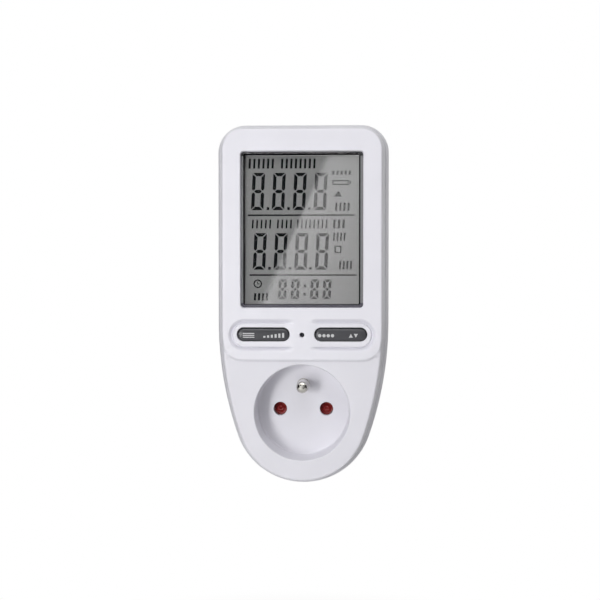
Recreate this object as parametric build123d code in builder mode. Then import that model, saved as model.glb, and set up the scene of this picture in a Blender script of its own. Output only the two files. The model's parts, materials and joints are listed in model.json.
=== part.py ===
from build123d import *
import os
from math import atan2, degrees, radians, sin, sqrt

# Plug-in energy meter: a display and two rocker keys above a round socket, and a round plug behind it.
# Millimetres. X runs right, Z up, and the front looks along -Y.
# The origin is the centre of the plug's engagement face, between its two live pins.
# +Y runs into the wall.
# A name that ends in _out is a distance in front of that face, so it lies at Y = -out.

# Outline of the case, seen from the front
case_half_width = 34.95
case_top = 116.4
case_bottom = 30.3
top_corner_radius = 11.25
bottom_arc_radius = 28.5
side_arc_start = 36.0

# Case, front to back
plug_length = 18.0
case_depth = 32.0
front_cover_depth = 10.0
shoulder_depth = 16.0
face_inset = 3.4
parting_inset = 1.3
rear_inset = 0.6
face_edge_radius = 1.2
rear_edge_radius = 5.0
side_wall = 2.0
front_wall = 2.2
rear_wall = 2.0
seam_chamfer = 0.25
lip_height = 1.4
lip_clearance = 0.12

# Raised upper panel
panel_step = 1.0
panel_edge_z = 20.95
panel_corner_radius = 8.0

# Round socket
pin_spacing = 19.0
pin_diameter = 4.8
pin_length = 19.0
earth_offset = 10.0
earth_pin_length = 14.0
bowl_radius = 19.15
bowl_taper = 0.25
bowl_depth = 15.0
bowl_floor_thickness = 2.5
bowl_rim_radius = 0.5
bowl_corner_radius = 1.0
bowl_collar_height = 2.0
cup_wall = 1.5
cup_clearance = 0.1
cup_ring_depth = 6.0
cup_ring_wall = 1.45
live_hole_radius = 2.75
earth_shoulder_radius = 2.95
earth_shoulder_height = 0.6
earth_neck_radius = 1.9
earth_root_radius = 1.5
earth_tip_radius = 1.5

# Round plug
plug_radius = 18.3
plug_wall = 2.0
plug_face_wall = 2.5
plug_edge_radius = 1.0
pin_neck_radius = 2.2
pin_tip_radius = 2.3
pin_clearance = 0.05
guide_groove_width = 5.0
strip_groove_width = 6.6
strip_groove_depth = 1.5
groove_wall = 1.8
strip_groove_wall = 1.5
groove_clearance = 0.2
earth_hole_radius = 2.6
sleeve_wall = 0.4
sleeve_step = 0.4
sleeve_cap = 1.5
sleeve_end_out = 18.0
strip_thickness = 0.6
strip_width = 6.0
strip_start_out = 1.2
crossbar_width = 9.2
crossbar_end_gap = 1.1

# Window and display
window_side_margin = 10.35
window_top_margin = 12.0
window_bottom = 41.9
window_corner_radius = 1.5
window_recess = 0.6
window_edge_radius = 0.3
window_clearance = 0.2
lens_thickness = 1.2
mask_thickness = 0.2
mask_border = 2.0
mask_end_border = 1.9
ledge_thickness = 1.2
ledge_width = 1.7
window_frame_wall = 1.3
display_gap = 0.2
glass_thickness = 1.1
glass_border = 1.2
contact_ledge = 1.6
reflector_thickness = 0.3
holder_wall = 1.2
holder_clearance = 0.1
holder_shelf = 2.4
lead_margin = 3.0
lead_clearance = 0.1
board_corner_radius = 1.5

# Keys
key_z = 31.2
key_height = 5.0
key_gap = 0.3
key_middle_gap = 10.4
key_end_margin = 2.45
key_recess_margin = 3.35
key_recess_height = 10.5
key_recess_depth = 0.9
key_recess_rise = -0.1
key_saddle_half_width = 4.0
key_saddle_ramp = 7.0
key_top_drop = 0.1
key_top_radius = 0.6
key_rock_limit = 4.0
key_flange = 0.7
key_flange_thickness = 0.9
key_swing_clearance = 0.35
key_journal_radius = 0.8
key_journal_length = 1.4
key_lug_wall = 0.8
key_lug_clearance = 0.3
journal_clearance = 0.06
key_leg_offset = 7.0
key_leg_radius = 1.3
carbon_radius = 1.5
carbon_thickness = 0.8
carbon_lift = 0.7

# Keypad mat
mat_thickness = 0.8
mat_collar_height = 1.2
mat_collar_wall = 0.8
mat_collar_clearance = 0.7
mat_margin = 2.2

# Reset button behind its pinhole
reset_hole_radius = 0.95
reset_guide_radius = 2.0
reset_switch_width = 5.0
reset_switch_height = 3.5
reset_plunger_radius = 1.6
reset_plunger_depth = 1.2
reset_plunger_proud = 1.3
reset_guide_gap = 0.3
reset_travel = 0.25
reset_clearance = 0.06

# Boards
board_thickness = 1.6
display_board_depth = 7.8
board_side_gap = 1.65
display_board_bottom = 24.5
board_screw_inset = 2.5
lower_board_screw_z = 38.0
upper_board_screw_z = 99.0
power_board_standoff = 4.4
power_board_bottom = 23.2
board_top_gap = 2.6
post_radius = 2.3
lower_post_z = 44.0
upper_post_z = 92.0

# Screws
board_screw_radius = 1.0
board_screw_length = 5.5
board_screw_head_radius = 1.9
board_screw_head_height = 1.4
case_screw_side_gap = 8.05
lower_case_screw_z = 17.5
case_screw_top_gap = 7.7
case_screw_radius = 1.45
case_screw_head_radius = 2.7
case_screw_head_height = 2.0
case_screw_length = 11.0
case_column_radius = 4.2
case_boss_radius = 2.9
screw_hole_clearance = 0.2
screw_seat_thickness = 5.2
column_top_gap = 1.8

# Contact housing, shutter and contacts
housing_clearance = 0.2
housing_front_gap = 0.1
pocket_depth = 3.1
pocket_clearance = 0.2
chamber_floor = 1.0
chamber_half_width = 3.7
chamber_half_height = 4.2
chamber_side_wall = 0.7
contact_entry_radius = 3.0
shutter_top = 3.1
shutter_bottom = 3.0
shutter_half_width = 12.6
shutter_corner = 2.6
shutter_thickness = 2.5
shutter_travel = 5.9
shutter_front_gap = 0.3
shutter_ramp_depth = 1.8
shutter_ramp_height = 3.4
spring_radius = 1.0
spring_wire_radius = 0.2
spring_turns = 6
spring_seat_wall = 1.2
spring_clearance = 0.15
contact_thickness = 0.6
contact_height = 6.0
contact_gap = 0.1
contact_mouth_flare = 0.5
contact_pin_overrun = 0.9
tail_clearance = 0.1
tail_slot_clearance = 0.5
tail_reach = 6.5
tail_tab_height = 3.0
tail_tab_proud = 1.0
bar_thickness = 0.8
bar_width = 4.0

# Pins and their carrier
pin_flange_radius = 3.4
pin_flange_thickness = 1.2
pin_root_radius = 1.6
live_root_out = 10.2
carrier_thickness = 4.3
carrier_clearance = 0.2

# Parts on the boards
part_clearance = 0.9
chip_side = 9.0
chip_thickness = 1.4
crystal_length = 8.2
crystal_radius = 1.5
battery_margin = 1.5
battery_clearance = 0.2
battery_cell_length = 5.4
battery_cells_count = 3
dropper_length = 18.0
dropper_width = 8.5
smoothing_radius = 4.0
surge_radius = 5.0
surge_thickness = 4.0
diode_radius = 1.3
diode_length = 4.4
diode_pitch = 3.6
shunt_width = 3.0
shunt_span = 14.0
shunt_height = 5.0
link_pins = 8
link_pin_spacing = 2.54
link_pin_width = 0.64
link_body_width = 2.5

# Levels worked out from the sizes above
panel_out = plug_length + case_depth
socket_face_out = panel_out - panel_step
parting_out = panel_out - front_cover_depth
shoulder_out = panel_out - shoulder_depth
front_inner_out = panel_out - front_wall
lower_inner_out = socket_face_out - front_wall
rear_inner_out = plug_length + rear_wall
bowl_floor_out = socket_face_out - bowl_depth
bowl_back_out = bowl_floor_out - bowl_floor_thickness
lens_front_out = panel_out - window_recess
lens_back_out = lens_front_out - lens_thickness
ledge_front_out = lens_back_out - mask_thickness
ledge_back_out = ledge_front_out - ledge_thickness
glass_front_out = ledge_back_out - display_gap
glass_middle_out = glass_front_out - glass_thickness
glass_back_out = glass_middle_out - glass_thickness
holder_shelf_out = glass_back_out - reflector_thickness
display_board_out = front_inner_out - display_board_depth
display_board_back_out = display_board_out - board_thickness
power_board_back_out = rear_inner_out + power_board_standoff
power_board_out = power_board_back_out + board_thickness
part_height = display_board_back_out - power_board_out - part_clearance

# Outline geometry: one arc under each straight side meets the bottom arc on a common tangent
bottom_arc_z = bottom_arc_radius - case_bottom
arc_drop = side_arc_start - bottom_arc_z
arc_spread = case_half_width - bottom_arc_radius
side_arc_radius = (case_half_width**2 - bottom_arc_radius**2 + arc_drop**2) / (2 * arc_spread)
side_arc_x = case_half_width - side_arc_radius
side_arc_sweep = degrees(atan2(arc_drop, -side_arc_x))

# Insets of the case wall, which leans in steadily from the parting line to the face
face_draft = (face_inset - parting_inset) / front_cover_depth
socket_face_inset = face_inset - face_draft * panel_step
rear_draft = rear_inset / (shoulder_out - plug_length)
rear_inner_inset = rear_inset - rear_draft * rear_wall + side_wall

# Window and display sizes
window_half_width = case_half_width - window_side_margin
window_top = case_top - window_top_margin
window_width = 2 * window_half_width
window_height = window_top - window_bottom
window_z = (window_top + window_bottom) / 2
visible_width = window_width - 2 * mask_border
visible_height = window_height - 2 * mask_end_border
glass_width = visible_width + 2 * glass_border
rear_glass_height = visible_height + glass_border / 2
front_glass_height = rear_glass_height + 2 * contact_ledge
holder_width = glass_width + 2 * (holder_clearance + holder_wall)
holder_height = front_glass_height + 2 * (holder_clearance + holder_wall)

# Key sizes
face_half_width = case_half_width - face_inset
key_recess_half_length = face_half_width - key_recess_margin
key_outer_end = key_recess_half_length - key_end_margin
key_length = key_outer_end - key_middle_gap / 2
key_x = (key_outer_end + key_middle_gap / 2) / 2
key_recess_z = key_z + key_recess_rise
key_top_out = panel_out - key_top_drop
key_half_flange = key_length / 2 + key_flange
key_swing = key_half_flange * sin(radians(key_rock_limit))
key_flange_out = front_inner_out - key_swing - key_swing_clearance
key_flange_back_out = key_flange_out - key_flange_thickness
key_pivot_out = key_flange_out - key_flange_thickness / 2
journal_start = key_height / 2 + key_flange
journal_end = journal_start + key_journal_length
lug_start = journal_start + key_lug_clearance
carbon_back_out = display_board_out + carbon_lift
carbon_front_out = carbon_back_out + carbon_thickness

# Board and screw places
board_half_width = case_half_width - parting_inset - side_wall - board_side_gap
board_screw_x = board_half_width - board_screw_inset
case_screw_x = case_half_width - case_screw_side_gap
case_screw_top_z = case_top - case_screw_top_gap
board_top = case_screw_top_z - case_boss_radius - board_top_gap / 6
power_board_top = case_screw_top_z - case_column_radius - board_top_gap / 6
case_screw_places = [
    (side * case_screw_x, z) for side in (-1, 1) for z in (lower_case_screw_z, case_screw_top_z)
]
board_screw_places = [
    (side * board_screw_x, z) for side in (-1, 1) for z in (lower_board_screw_z, upper_board_screw_z)
]
post_places = [(side * board_screw_x, z) for side in (-1, 1) for z in (lower_post_z, upper_post_z)]
screw_seat_out = parting_out - lip_height - column_top_gap / 4 - screw_seat_thickness
column_top_out = parting_out - lip_height - column_top_gap / 4
boss_back_out = column_top_out + lip_clearance * 2

# Socket and contact places
pin_radius = pin_diameter / 2
live_x = pin_spacing / 2
cup_outer_radius = bowl_radius + cup_wall
cup_front_out = socket_face_out - bowl_collar_height
ring_outer_radius = cup_outer_radius + cup_clearance + cup_ring_wall
bore_radius = plug_radius - plug_wall
housing_radius = bore_radius - housing_clearance
housing_front_out = bowl_back_out - housing_front_gap
pocket_floor_out = housing_front_out - pocket_depth
chamber_front_out = pocket_floor_out - chamber_floor
shutter_front_out = housing_front_out - shutter_front_gap
shutter_back_out = shutter_front_out - shutter_thickness
side_flat = live_x + chamber_half_width + chamber_side_wall
guide_groove_depth = plug_radius - side_flat - groove_clearance - groove_wall
top_flat = plug_radius - strip_groove_depth - strip_groove_wall - groove_clearance
spring_seat_z = top_flat - spring_seat_wall
crossbar_half_height = top_flat - crossbar_end_gap
contact_front_out = chamber_front_out - contact_gap
contact_back_out = bowl_floor_out - pin_length - contact_pin_overrun
housing_back_out = contact_back_out - contact_thickness - contact_gap
carrier_back_out = plug_face_wall + pin_flange_thickness
carrier_front_out = carrier_back_out + carrier_thickness
sleeve_bore = earth_hole_radius + sleeve_step
sleeve_radius = sleeve_bore + sleeve_wall
earth_slot_radius = sleeve_radius + carrier_clearance
leaf_inner = pin_radius + contact_gap
leaf_outer = leaf_inner + contact_thickness
tail_width = power_board_standoff - 2 * tail_clearance
tail_back_out = rear_inner_out + tail_clearance
tail_top = power_board_bottom + tail_reach
tail_x = live_x + (leaf_inner + leaf_outer) / 2
bar_step_out = tail_back_out + tail_width / 2
bar_rise_z = sqrt(housing_radius**2 - (live_x + bar_width / 4) ** 2) - bar_thickness
battery_radius = (part_height - battery_margin) / 2
mat_hole_radius = carbon_radius + mat_collar_clearance
mat_collar_radius = mat_hole_radius + mat_collar_wall
spring_out = pocket_floor_out + pocket_depth / 2


def at(out):
    """Plane parallel to the front, with its local X and Y along X and Z."""
    return Plane.XZ.offset(out)


def case_outline(inset):
    """Outline of the case, drawn in by inset all round."""
    half_width = case_half_width - inset
    corner = top_corner_radius - inset
    top = case_top - inset
    corner_x = half_width - corner
    side_radius = side_arc_radius - inset
    bottom_radius = bottom_arc_radius - inset
    with BuildSketch() as outline:
        with BuildLine():
            Line((half_width, side_arc_start), (half_width, top - corner))
            CenterArc((corner_x, top - corner), corner, 0, 90)
            Line((corner_x, top), (-corner_x, top))
            CenterArc((-corner_x, top - corner), corner, 90, 90)
            Line((-half_width, top - corner), (-half_width, side_arc_start))
            CenterArc((-side_arc_x, side_arc_start), side_radius, 180, side_arc_sweep)
            CenterArc((0, bottom_arc_z), bottom_radius, 180 + side_arc_sweep, 180 - 2 * side_arc_sweep)
            CenterArc((side_arc_x, side_arc_start), side_radius, -side_arc_sweep, side_arc_sweep)
        make_face()
    return outline.sketch


def case_slab(back_out, back_inset, front_out, front_inset):
    """Drafted slab of the case's outline between two levels."""
    with BuildPart() as slab:
        with BuildSketch(at(back_out)):
            add(case_outline(back_inset))
        with BuildSketch(at(front_out)):
            add(case_outline(front_inset))
        loft(ruled=True)
    return slab.part


def disc(centre, radius, back_out, front_out):
    """Round bar along Y between two levels."""
    with BuildPart() as bar:
        with BuildSketch(at(back_out)):
            with Locations(centre):
                Circle(radius)
        extrude(amount=front_out - back_out)
    return bar.part


def block(centre, width, height, back_out, front_out):
    """Rectangular bar along Y between two levels."""
    with BuildPart() as bar:
        with BuildSketch(at(back_out)):
            with Locations(centre):
                Rectangle(width, height)
        extrude(amount=front_out - back_out)
    return bar.part


def export(builder, name):
    """Label a finished piece and write it to its own file."""
    builder.part.label = name
    export_step(builder.part, f"parts/{name}.step")


os.makedirs("parts", exist_ok=True)

# Raised upper panel of the front cover: the case to its full depth, kept only above the panel's edge
with BuildPart() as raised_panel:
    add(case_slab(parting_out, parting_inset, panel_out, face_inset))
    fillet(raised_panel.faces().sort_by(Axis.Y)[0].edges(), face_edge_radius)
    with BuildSketch(at(parting_out)):
        with Locations((0, panel_edge_z)):
            RectangleRounded(
                2 * face_half_width,
                4 * case_top,
                panel_corner_radius,
                align=(Align.CENTER, Align.MIN),
            )
        with Locations((0, panel_edge_z + panel_corner_radius)):
            Rectangle(4 * case_half_width, 4 * case_top, align=(Align.CENTER, Align.MIN))
    extrude(amount=front_cover_depth + panel_step, mode=Mode.INTERSECT)

# Pocket behind the raised panel, which keeps the front wall even
with BuildPart() as panel_pocket:
    inner_inset = face_inset + side_wall
    add(case_slab(lower_inner_out - panel_step, inner_inset, front_inner_out, inner_inset))
    with BuildSketch(at(lower_inner_out - 2 * panel_step)):
        with Locations((0, panel_edge_z + front_wall)):
            Rectangle(4 * case_half_width, 4 * case_top, align=(Align.CENTER, Align.MIN))
    extrude(amount=4 * panel_step, mode=Mode.INTERSECT)

# Cutter of the key recess: full depth round the keys, rising to nothing in a saddle between them
with BuildPart() as key_recess:
    with BuildSketch(Plane.XY.offset(key_recess_z - key_recess_height / 2)):
        with BuildLine():
            ramp_end = key_saddle_half_width + key_saddle_ramp
            floor_y = -(panel_out - key_recess_depth)
            saddle_y = -(panel_out + key_recess_depth / 3)
            Line((-key_recess_half_length, floor_y), (-ramp_end, floor_y))
            Spline((-ramp_end, floor_y), (0, saddle_y), (ramp_end, floor_y), tangents=((1, 0), (1, 0)))
            Line((ramp_end, floor_y), (key_recess_half_length, floor_y))
            Polyline(
                (key_recess_half_length, floor_y),
                (key_recess_half_length, floor_y - 3 * key_recess_depth),
                (-key_recess_half_length, floor_y - 3 * key_recess_depth),
                (-key_recess_half_length, floor_y),
            )
        make_face()
    extrude(amount=key_recess_height)
    with BuildSketch(at(panel_out - 2 * key_recess_depth)):
        with Locations((0, key_recess_z)):
            SlotOverall(2 * key_recess_half_length, key_recess_height)
    extrude(amount=4 * key_recess_depth, mode=Mode.INTERSECT)

# Front cover
with BuildPart() as front_cover:
    add(case_slab(parting_out, parting_inset, socket_face_out, socket_face_inset))
    fillet(front_cover.faces().sort_by(Axis.Y)[0].edges(), face_edge_radius)
    add(raised_panel.part)
    chamfer(front_cover.faces().sort_by(Axis.Y)[-1].edges(), seam_chamfer)
    cavity = case_slab(parting_out, parting_inset + side_wall, lower_inner_out, face_inset + side_wall)
    add(cavity, mode=Mode.SUBTRACT)
    add(panel_pocket.part, mode=Mode.SUBTRACT)

    # Lip that locates the rear cover
    with BuildSketch(at(parting_out - lip_height)):
        add(case_outline(parting_inset + side_wall / 2))
    extrude(amount=lip_height + side_wall / 2)
    with BuildSketch(at(parting_out - lip_height)):
        add(case_outline(parting_inset + side_wall))
    extrude(amount=lip_height + side_wall / 2, mode=Mode.SUBTRACT)

    # Bosses for the case screws and the display board's screws
    with BuildSketch(at(boss_back_out)):
        with Locations(*case_screw_places):
            Circle(case_boss_radius)
    extrude(amount=lower_inner_out - boss_back_out)
    with BuildSketch(at(display_board_out)):
        with Locations(*board_screw_places):
            Circle(post_radius)
    extrude(amount=front_inner_out - display_board_out)
    with BuildSketch(at(boss_back_out)):
        with Locations(*case_screw_places):
            Circle(case_screw_radius)
    extrude(amount=lower_inner_out - boss_back_out - front_wall / 2, mode=Mode.SUBTRACT)
    with BuildSketch(at(display_board_out)):
        with Locations(*board_screw_places):
            Circle(board_screw_radius)
    extrude(amount=board_screw_length, mode=Mode.SUBTRACT)

    # Frame round the window, then the seat of the lens and the way through to the display
    with BuildSketch(at(ledge_back_out)):
        with Locations((0, window_z)):
            RectangleRounded(
                window_width + 2 * window_frame_wall,
                window_height + 2 * window_frame_wall,
                window_corner_radius + window_frame_wall,
            )
    extrude(amount=front_wall)
    with BuildSketch(at(ledge_front_out)):
        with Locations((0, window_z)):
            RectangleRounded(window_width, window_height, window_corner_radius)
    extrude(amount=2 * front_wall, mode=Mode.SUBTRACT)
    with BuildSketch(at(ledge_back_out)):
        with Locations((0, window_z)):
            Rectangle(window_width - 2 * ledge_width, window_height - 2 * ledge_width)
    extrude(amount=2 * front_wall, mode=Mode.SUBTRACT)

    # Key recess, key openings and the lugs that the keys rock in
    add(key_recess.part, mode=Mode.SUBTRACT)
    with BuildSketch(at(lower_inner_out)):
        with Locations((-key_x, key_z), (key_x, key_z)):
            SlotOverall(key_length + 2 * key_gap, key_height + 2 * key_gap)
    extrude(amount=2 * front_wall, mode=Mode.SUBTRACT)
    lug_radius = key_journal_radius + journal_clearance + key_lug_wall
    with BuildSketch(at(key_pivot_out)):
        for side in (-1, 1):
            for end in (-1, 1):
                with Locations((side * key_x, key_z + end * (lug_start + journal_end) / 2)):
                    Rectangle(2 * lug_radius, journal_end - lug_start)
    extrude(amount=front_inner_out - key_pivot_out)
    with BuildSketch(Plane.XY.offset(key_z - journal_end)):
        with Locations((-key_x, -key_pivot_out), (key_x, -key_pivot_out)):
            Circle(lug_radius)
    extrude(amount=journal_end - lug_start)
    with BuildSketch(Plane.XY.offset(key_z + lug_start)):
        with Locations((-key_x, -key_pivot_out), (key_x, -key_pivot_out)):
            Circle(lug_radius)
    extrude(amount=journal_end - lug_start)
    with BuildSketch(Plane.XY.offset(key_z - journal_end)):
        with Locations((-key_x, -key_pivot_out), (key_x, -key_pivot_out)):
            Circle(key_journal_radius + journal_clearance)
    extrude(amount=2 * journal_end, mode=Mode.SUBTRACT)

    # Guide and pinhole of the reset button
    reset_guide_out = display_board_out + reset_switch_height + reset_plunger_proud + reset_guide_gap
    add(disc((0, key_z), reset_guide_radius, reset_guide_out, front_inner_out))
    add(disc((0, key_z), reset_hole_radius, reset_guide_out, panel_out), mode=Mode.SUBTRACT)

    # Ring that takes the socket's cup, and the rim of the bowl
    add(disc((0, 0), ring_outer_radius, cup_front_out - cup_ring_depth, lower_inner_out))
    cup_seat = disc((0, 0), cup_outer_radius + cup_clearance, cup_front_out - cup_ring_depth, cup_front_out)
    add(cup_seat, mode=Mode.SUBTRACT)
    add(disc((0, 0), bowl_radius, cup_front_out, panel_out), mode=Mode.SUBTRACT)
    rim = front_cover.edges().filter_by(GeomType.CIRCLE)
    rim = rim.filter_by(lambda edge: abs(edge.radius - bowl_radius) < 0.01)
    fillet(rim.sort_by(Axis.Y)[0], bowl_rim_radius)
export(front_cover, "front_cover")

# Rear cover with the body of the plug
with BuildPart() as rear_cover:
    add(case_slab(plug_length, rear_inset, shoulder_out, 0))
    fillet(rear_cover.faces().sort_by(Axis.Y)[-1].edges(), rear_edge_radius)
    add(case_slab(shoulder_out, 0, parting_out, parting_inset))
    chamfer(rear_cover.faces().sort_by(Axis.Y)[0].edges(), seam_chamfer)
    add(case_slab(rear_inner_out, rear_inner_inset, shoulder_out, side_wall), mode=Mode.SUBTRACT)
    add(case_slab(shoulder_out, side_wall, parting_out, parting_inset + side_wall), mode=Mode.SUBTRACT)

    # Plug body, its bore, and the well that stands round the contacts
    add(disc((0, 0), plug_radius, 0, bowl_back_out - housing_front_gap))
    plug_edge = rear_cover.faces().sort_by(Axis.Y)[-1].edges()
    fillet(plug_edge, plug_edge_radius)
    add(disc((0, 0), bore_radius, plug_face_wall, bowl_back_out), mode=Mode.SUBTRACT)

    # Columns for the case screws and posts for the power board
    with BuildSketch(at(plug_length + rear_wall / 2)):
        with Locations(*case_screw_places):
            Circle(case_column_radius)
    extrude(amount=column_top_out - plug_length - rear_wall / 2)
    with BuildSketch(at(plug_length + rear_wall / 2)):
        with Locations(*post_places):
            Circle(post_radius)
    extrude(amount=power_board_back_out - plug_length - rear_wall / 2)
    with BuildSketch(at(plug_length)):
        with Locations(*case_screw_places):
            Circle(case_screw_radius + screw_hole_clearance)
    extrude(amount=case_depth, mode=Mode.SUBTRACT)
    with BuildSketch(at(plug_length)):
        with Locations(*case_screw_places):
            Circle(case_screw_head_radius + screw_hole_clearance)
    extrude(amount=screw_seat_out - plug_length, mode=Mode.SUBTRACT)
    with BuildSketch(at(power_board_back_out)):
        with Locations(*post_places):
            Circle(board_screw_radius)
    extrude(amount=-power_board_standoff, mode=Mode.SUBTRACT)

    # Rebate for the front cover's lip
    with BuildSketch(at(parting_out - lip_height - lip_clearance)):
        add(case_outline(parting_inset + side_wall / 2 - lip_clearance))
    extrude(amount=2 * lip_height, mode=Mode.SUBTRACT)

    # Walls behind the plug's side grooves and earth strips, then the grooves themselves
    for side in (-1, 1):
        groove_floor = plug_radius - guide_groove_depth
        guide_wall_x = side * (groove_floor - groove_wall / 2)
        add(block((guide_wall_x, 0), groove_wall, guide_groove_width + 2 * groove_wall, 0, rear_inner_out))
        strip_floor = plug_radius - strip_groove_depth
        strip_wall_z = side * (strip_floor - strip_groove_wall / 2)
        strip_wall = block(
            (0, strip_wall_z), strip_groove_width + 2 * groove_wall, strip_groove_wall, 0, rear_inner_out
        )
        add(strip_wall)
    for side in (-1, 1):
        guide_x = side * (groove_floor + guide_groove_depth)
        guide_groove = block((guide_x, 0), 2 * guide_groove_depth, guide_groove_width, 0, plug_length)
        add(guide_groove, mode=Mode.SUBTRACT)
        strip_z = side * (strip_floor + strip_groove_depth)
        strip_groove = block((0, strip_z), strip_groove_width, 2 * strip_groove_depth, 0, plug_length)
        add(strip_groove, mode=Mode.SUBTRACT)

    # Holes in the plug's face for its pins and the wall socket's earth pin
    with BuildSketch(at(0)):
        with Locations((-live_x, 0), (live_x, 0)):
            Circle(pin_radius + pin_clearance)
        with Locations((0, earth_offset)):
            Circle(earth_hole_radius)
    extrude(amount=plug_face_wall, mode=Mode.SUBTRACT)

    # Slots for the ends of the earth strip's crossbar and for the tails that rise to the power board
    slot_height = 2 * plug_radius
    cutter = block(
        (0, 0),
        strip_width + 2 * groove_clearance,
        slot_height,
        carrier_front_out - groove_clearance / 2,
        carrier_front_out + strip_thickness + groove_clearance / 2,
    )
    add(cutter, mode=Mode.SUBTRACT)
    for side in (-1, 1):
        cutter = block(
            (side * live_x, plug_radius * 0.75),
            2 * (leaf_outer + tail_slot_clearance),
            plug_radius * 0.9,
            rear_inner_out,
            power_board_back_out + tail_slot_clearance,
        )
        add(cutter, mode=Mode.SUBTRACT)
export(rear_cover, "rear_cover")


# Cup that forms the socket's bowl, with its holes
with BuildPart() as socket_cup:
    with BuildSketch(Plane.XY) as cup_profile:
        with BuildLine():
            Polyline(
                (0, -bowl_back_out),
                (cup_outer_radius, -bowl_back_out),
                (cup_outer_radius, -cup_front_out),
                (bowl_radius, -cup_front_out),
                (bowl_radius - bowl_taper, -bowl_floor_out),
                (0, -bowl_floor_out),
                close=True,
            )
        make_face()
        floor_corner = cup_profile.vertices().filter_by(
            lambda corner: abs(corner.X - bowl_radius + bowl_taper) < 0.01
        )
        fillet(floor_corner, bowl_corner_radius)
        back_corner = cup_profile.vertices().filter_by(
            lambda corner: corner.X > bowl_radius and abs(corner.Y + bowl_back_out) < 0.01
        )
        chamfer(back_corner, cup_wall / 2)
    revolve(axis=Axis.Y)
    with BuildSketch(at(bowl_back_out)):
        with Locations((-live_x, 0), (live_x, 0)):
            Circle(live_hole_radius)
        with Locations((0, earth_offset)):
            Circle(earth_neck_radius + pin_clearance)
    extrude(amount=bowl_floor_thickness, mode=Mode.SUBTRACT)
export(socket_cup, "socket_cup")

# Earth pin of the socket: a shouldered pin whose root is riveted to the plug's earth sleeve
with BuildPart() as socket_earth_pin:
    pin_top_out = bowl_floor_out + earth_pin_length
    add(disc((0, earth_offset), pin_radius, bowl_floor_out, pin_top_out))
    fillet(socket_earth_pin.faces().sort_by(Axis.Y)[0].edges(), earth_tip_radius)
    shoulder_top_out = bowl_floor_out + earth_shoulder_height
    add(disc((0, earth_offset), earth_shoulder_radius, bowl_floor_out, shoulder_top_out))
    add(disc((0, earth_offset), earth_neck_radius, housing_front_out - earth_root_radius, bowl_floor_out))
    add(disc((0, earth_offset), earth_root_radius, sleeve_end_out - sleeve_cap, housing_front_out))
export(socket_earth_pin, "socket_earth_pin")

# Lens, mask and display cell, one behind the other
with BuildPart() as display_window:
    with BuildSketch(at(lens_back_out)):
        with Locations((0, window_z)):
            RectangleRounded(
                window_width - 2 * window_clearance,
                window_height - 2 * window_clearance,
                window_corner_radius - window_clearance,
            )
    extrude(amount=lens_thickness)
    chamfer(display_window.faces().sort_by(Axis.Y)[0].edges(), window_edge_radius / 2)
export(display_window, "display_window")

with BuildPart() as window_mask:
    with BuildSketch(at(ledge_front_out)):
        with Locations((0, window_z)):
            RectangleRounded(
                window_width - 2 * window_clearance,
                window_height - 2 * window_clearance,
                window_corner_radius - window_clearance,
            )
            Rectangle(visible_width, visible_height, mode=Mode.SUBTRACT)
    extrude(amount=mask_thickness)
export(window_mask, "window_mask")

with BuildPart() as lcd_front_glass:
    add(block((0, window_z), glass_width, front_glass_height, glass_middle_out, glass_front_out))
export(lcd_front_glass, "lcd_front_glass")

with BuildPart() as lcd_rear_glass:
    add(block((0, window_z), glass_width, rear_glass_height, glass_back_out, glass_middle_out))
export(lcd_rear_glass, "lcd_rear_glass")

with BuildPart() as lcd_reflector:
    add(block((0, window_z), glass_width, rear_glass_height, holder_shelf_out, glass_back_out))
export(lcd_reflector, "lcd_reflector")

lead_z = (front_glass_height - contact_ledge) / 2
lead_width = glass_width - 2 * lead_margin
with BuildPart() as lcd_holder:
    add(block((0, window_z), holder_width, holder_height, display_board_out, glass_front_out))
    glass_seat = block(
        (0, window_z),
        glass_width + 2 * holder_clearance,
        front_glass_height + 2 * holder_clearance,
        holder_shelf_out,
        glass_front_out,
    )
    add(glass_seat, mode=Mode.SUBTRACT)
    light_gap = block(
        (0, window_z),
        glass_width - 2 * holder_shelf,
        rear_glass_height - 2 * holder_shelf,
        display_board_out,
        holder_shelf_out,
    )
    add(light_gap, mode=Mode.SUBTRACT)
    with BuildSketch(at(display_board_out)):
        with Locations((0, window_z - lead_z), (0, window_z + lead_z)):
            Rectangle(lead_width, contact_ledge)
    extrude(amount=holder_shelf_out - display_board_out, mode=Mode.SUBTRACT)
export(lcd_holder, "lcd_holder")

with BuildPart() as contact_strips:
    with BuildSketch(at(display_board_out)):
        with Locations((0, window_z - lead_z), (0, window_z + lead_z)):
            Rectangle(lead_width - 2 * lead_clearance, contact_ledge - 2 * lead_clearance)
    extrude(amount=glass_middle_out - display_board_out)
export(contact_strips, "contact_strips")

# Display board, its screws and the parts on its back
with BuildPart() as display_board:
    with BuildSketch(at(display_board_back_out)):
        with Locations((0, (board_top + display_board_bottom) / 2)):
            RectangleRounded(2 * board_half_width, board_top - display_board_bottom, board_corner_radius)
        with Locations(*board_screw_places):
            Circle(board_screw_radius + screw_hole_clearance / 2, mode=Mode.SUBTRACT)
    extrude(amount=board_thickness)
export(display_board, "display_board")

with BuildPart() as display_board_screws:
    with BuildSketch(at(display_board_back_out)):
        with Locations(*board_screw_places):
            Circle(board_screw_radius)
    extrude(amount=board_thickness + board_screw_length - screw_hole_clearance)
    with BuildSketch(at(display_board_back_out)):
        with Locations(*board_screw_places):
            Circle(board_screw_head_radius)
    extrude(amount=-board_screw_head_height)
    fillet(display_board_screws.faces().group_by(Axis.Y)[-1].edges(), board_screw_head_height / 3)
export(display_board_screws, "display_board_screws")

chip_z = (window_z + window_bottom) / 2
with BuildPart() as controller_chip:
    chip_back_out = display_board_back_out - chip_thickness
    add(block((0, chip_z), chip_side, chip_side, chip_back_out, display_board_back_out))
    chamfer(controller_chip.edges().filter_by(Axis.Y), chip_thickness / 3)
export(controller_chip, "controller_chip")

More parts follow.
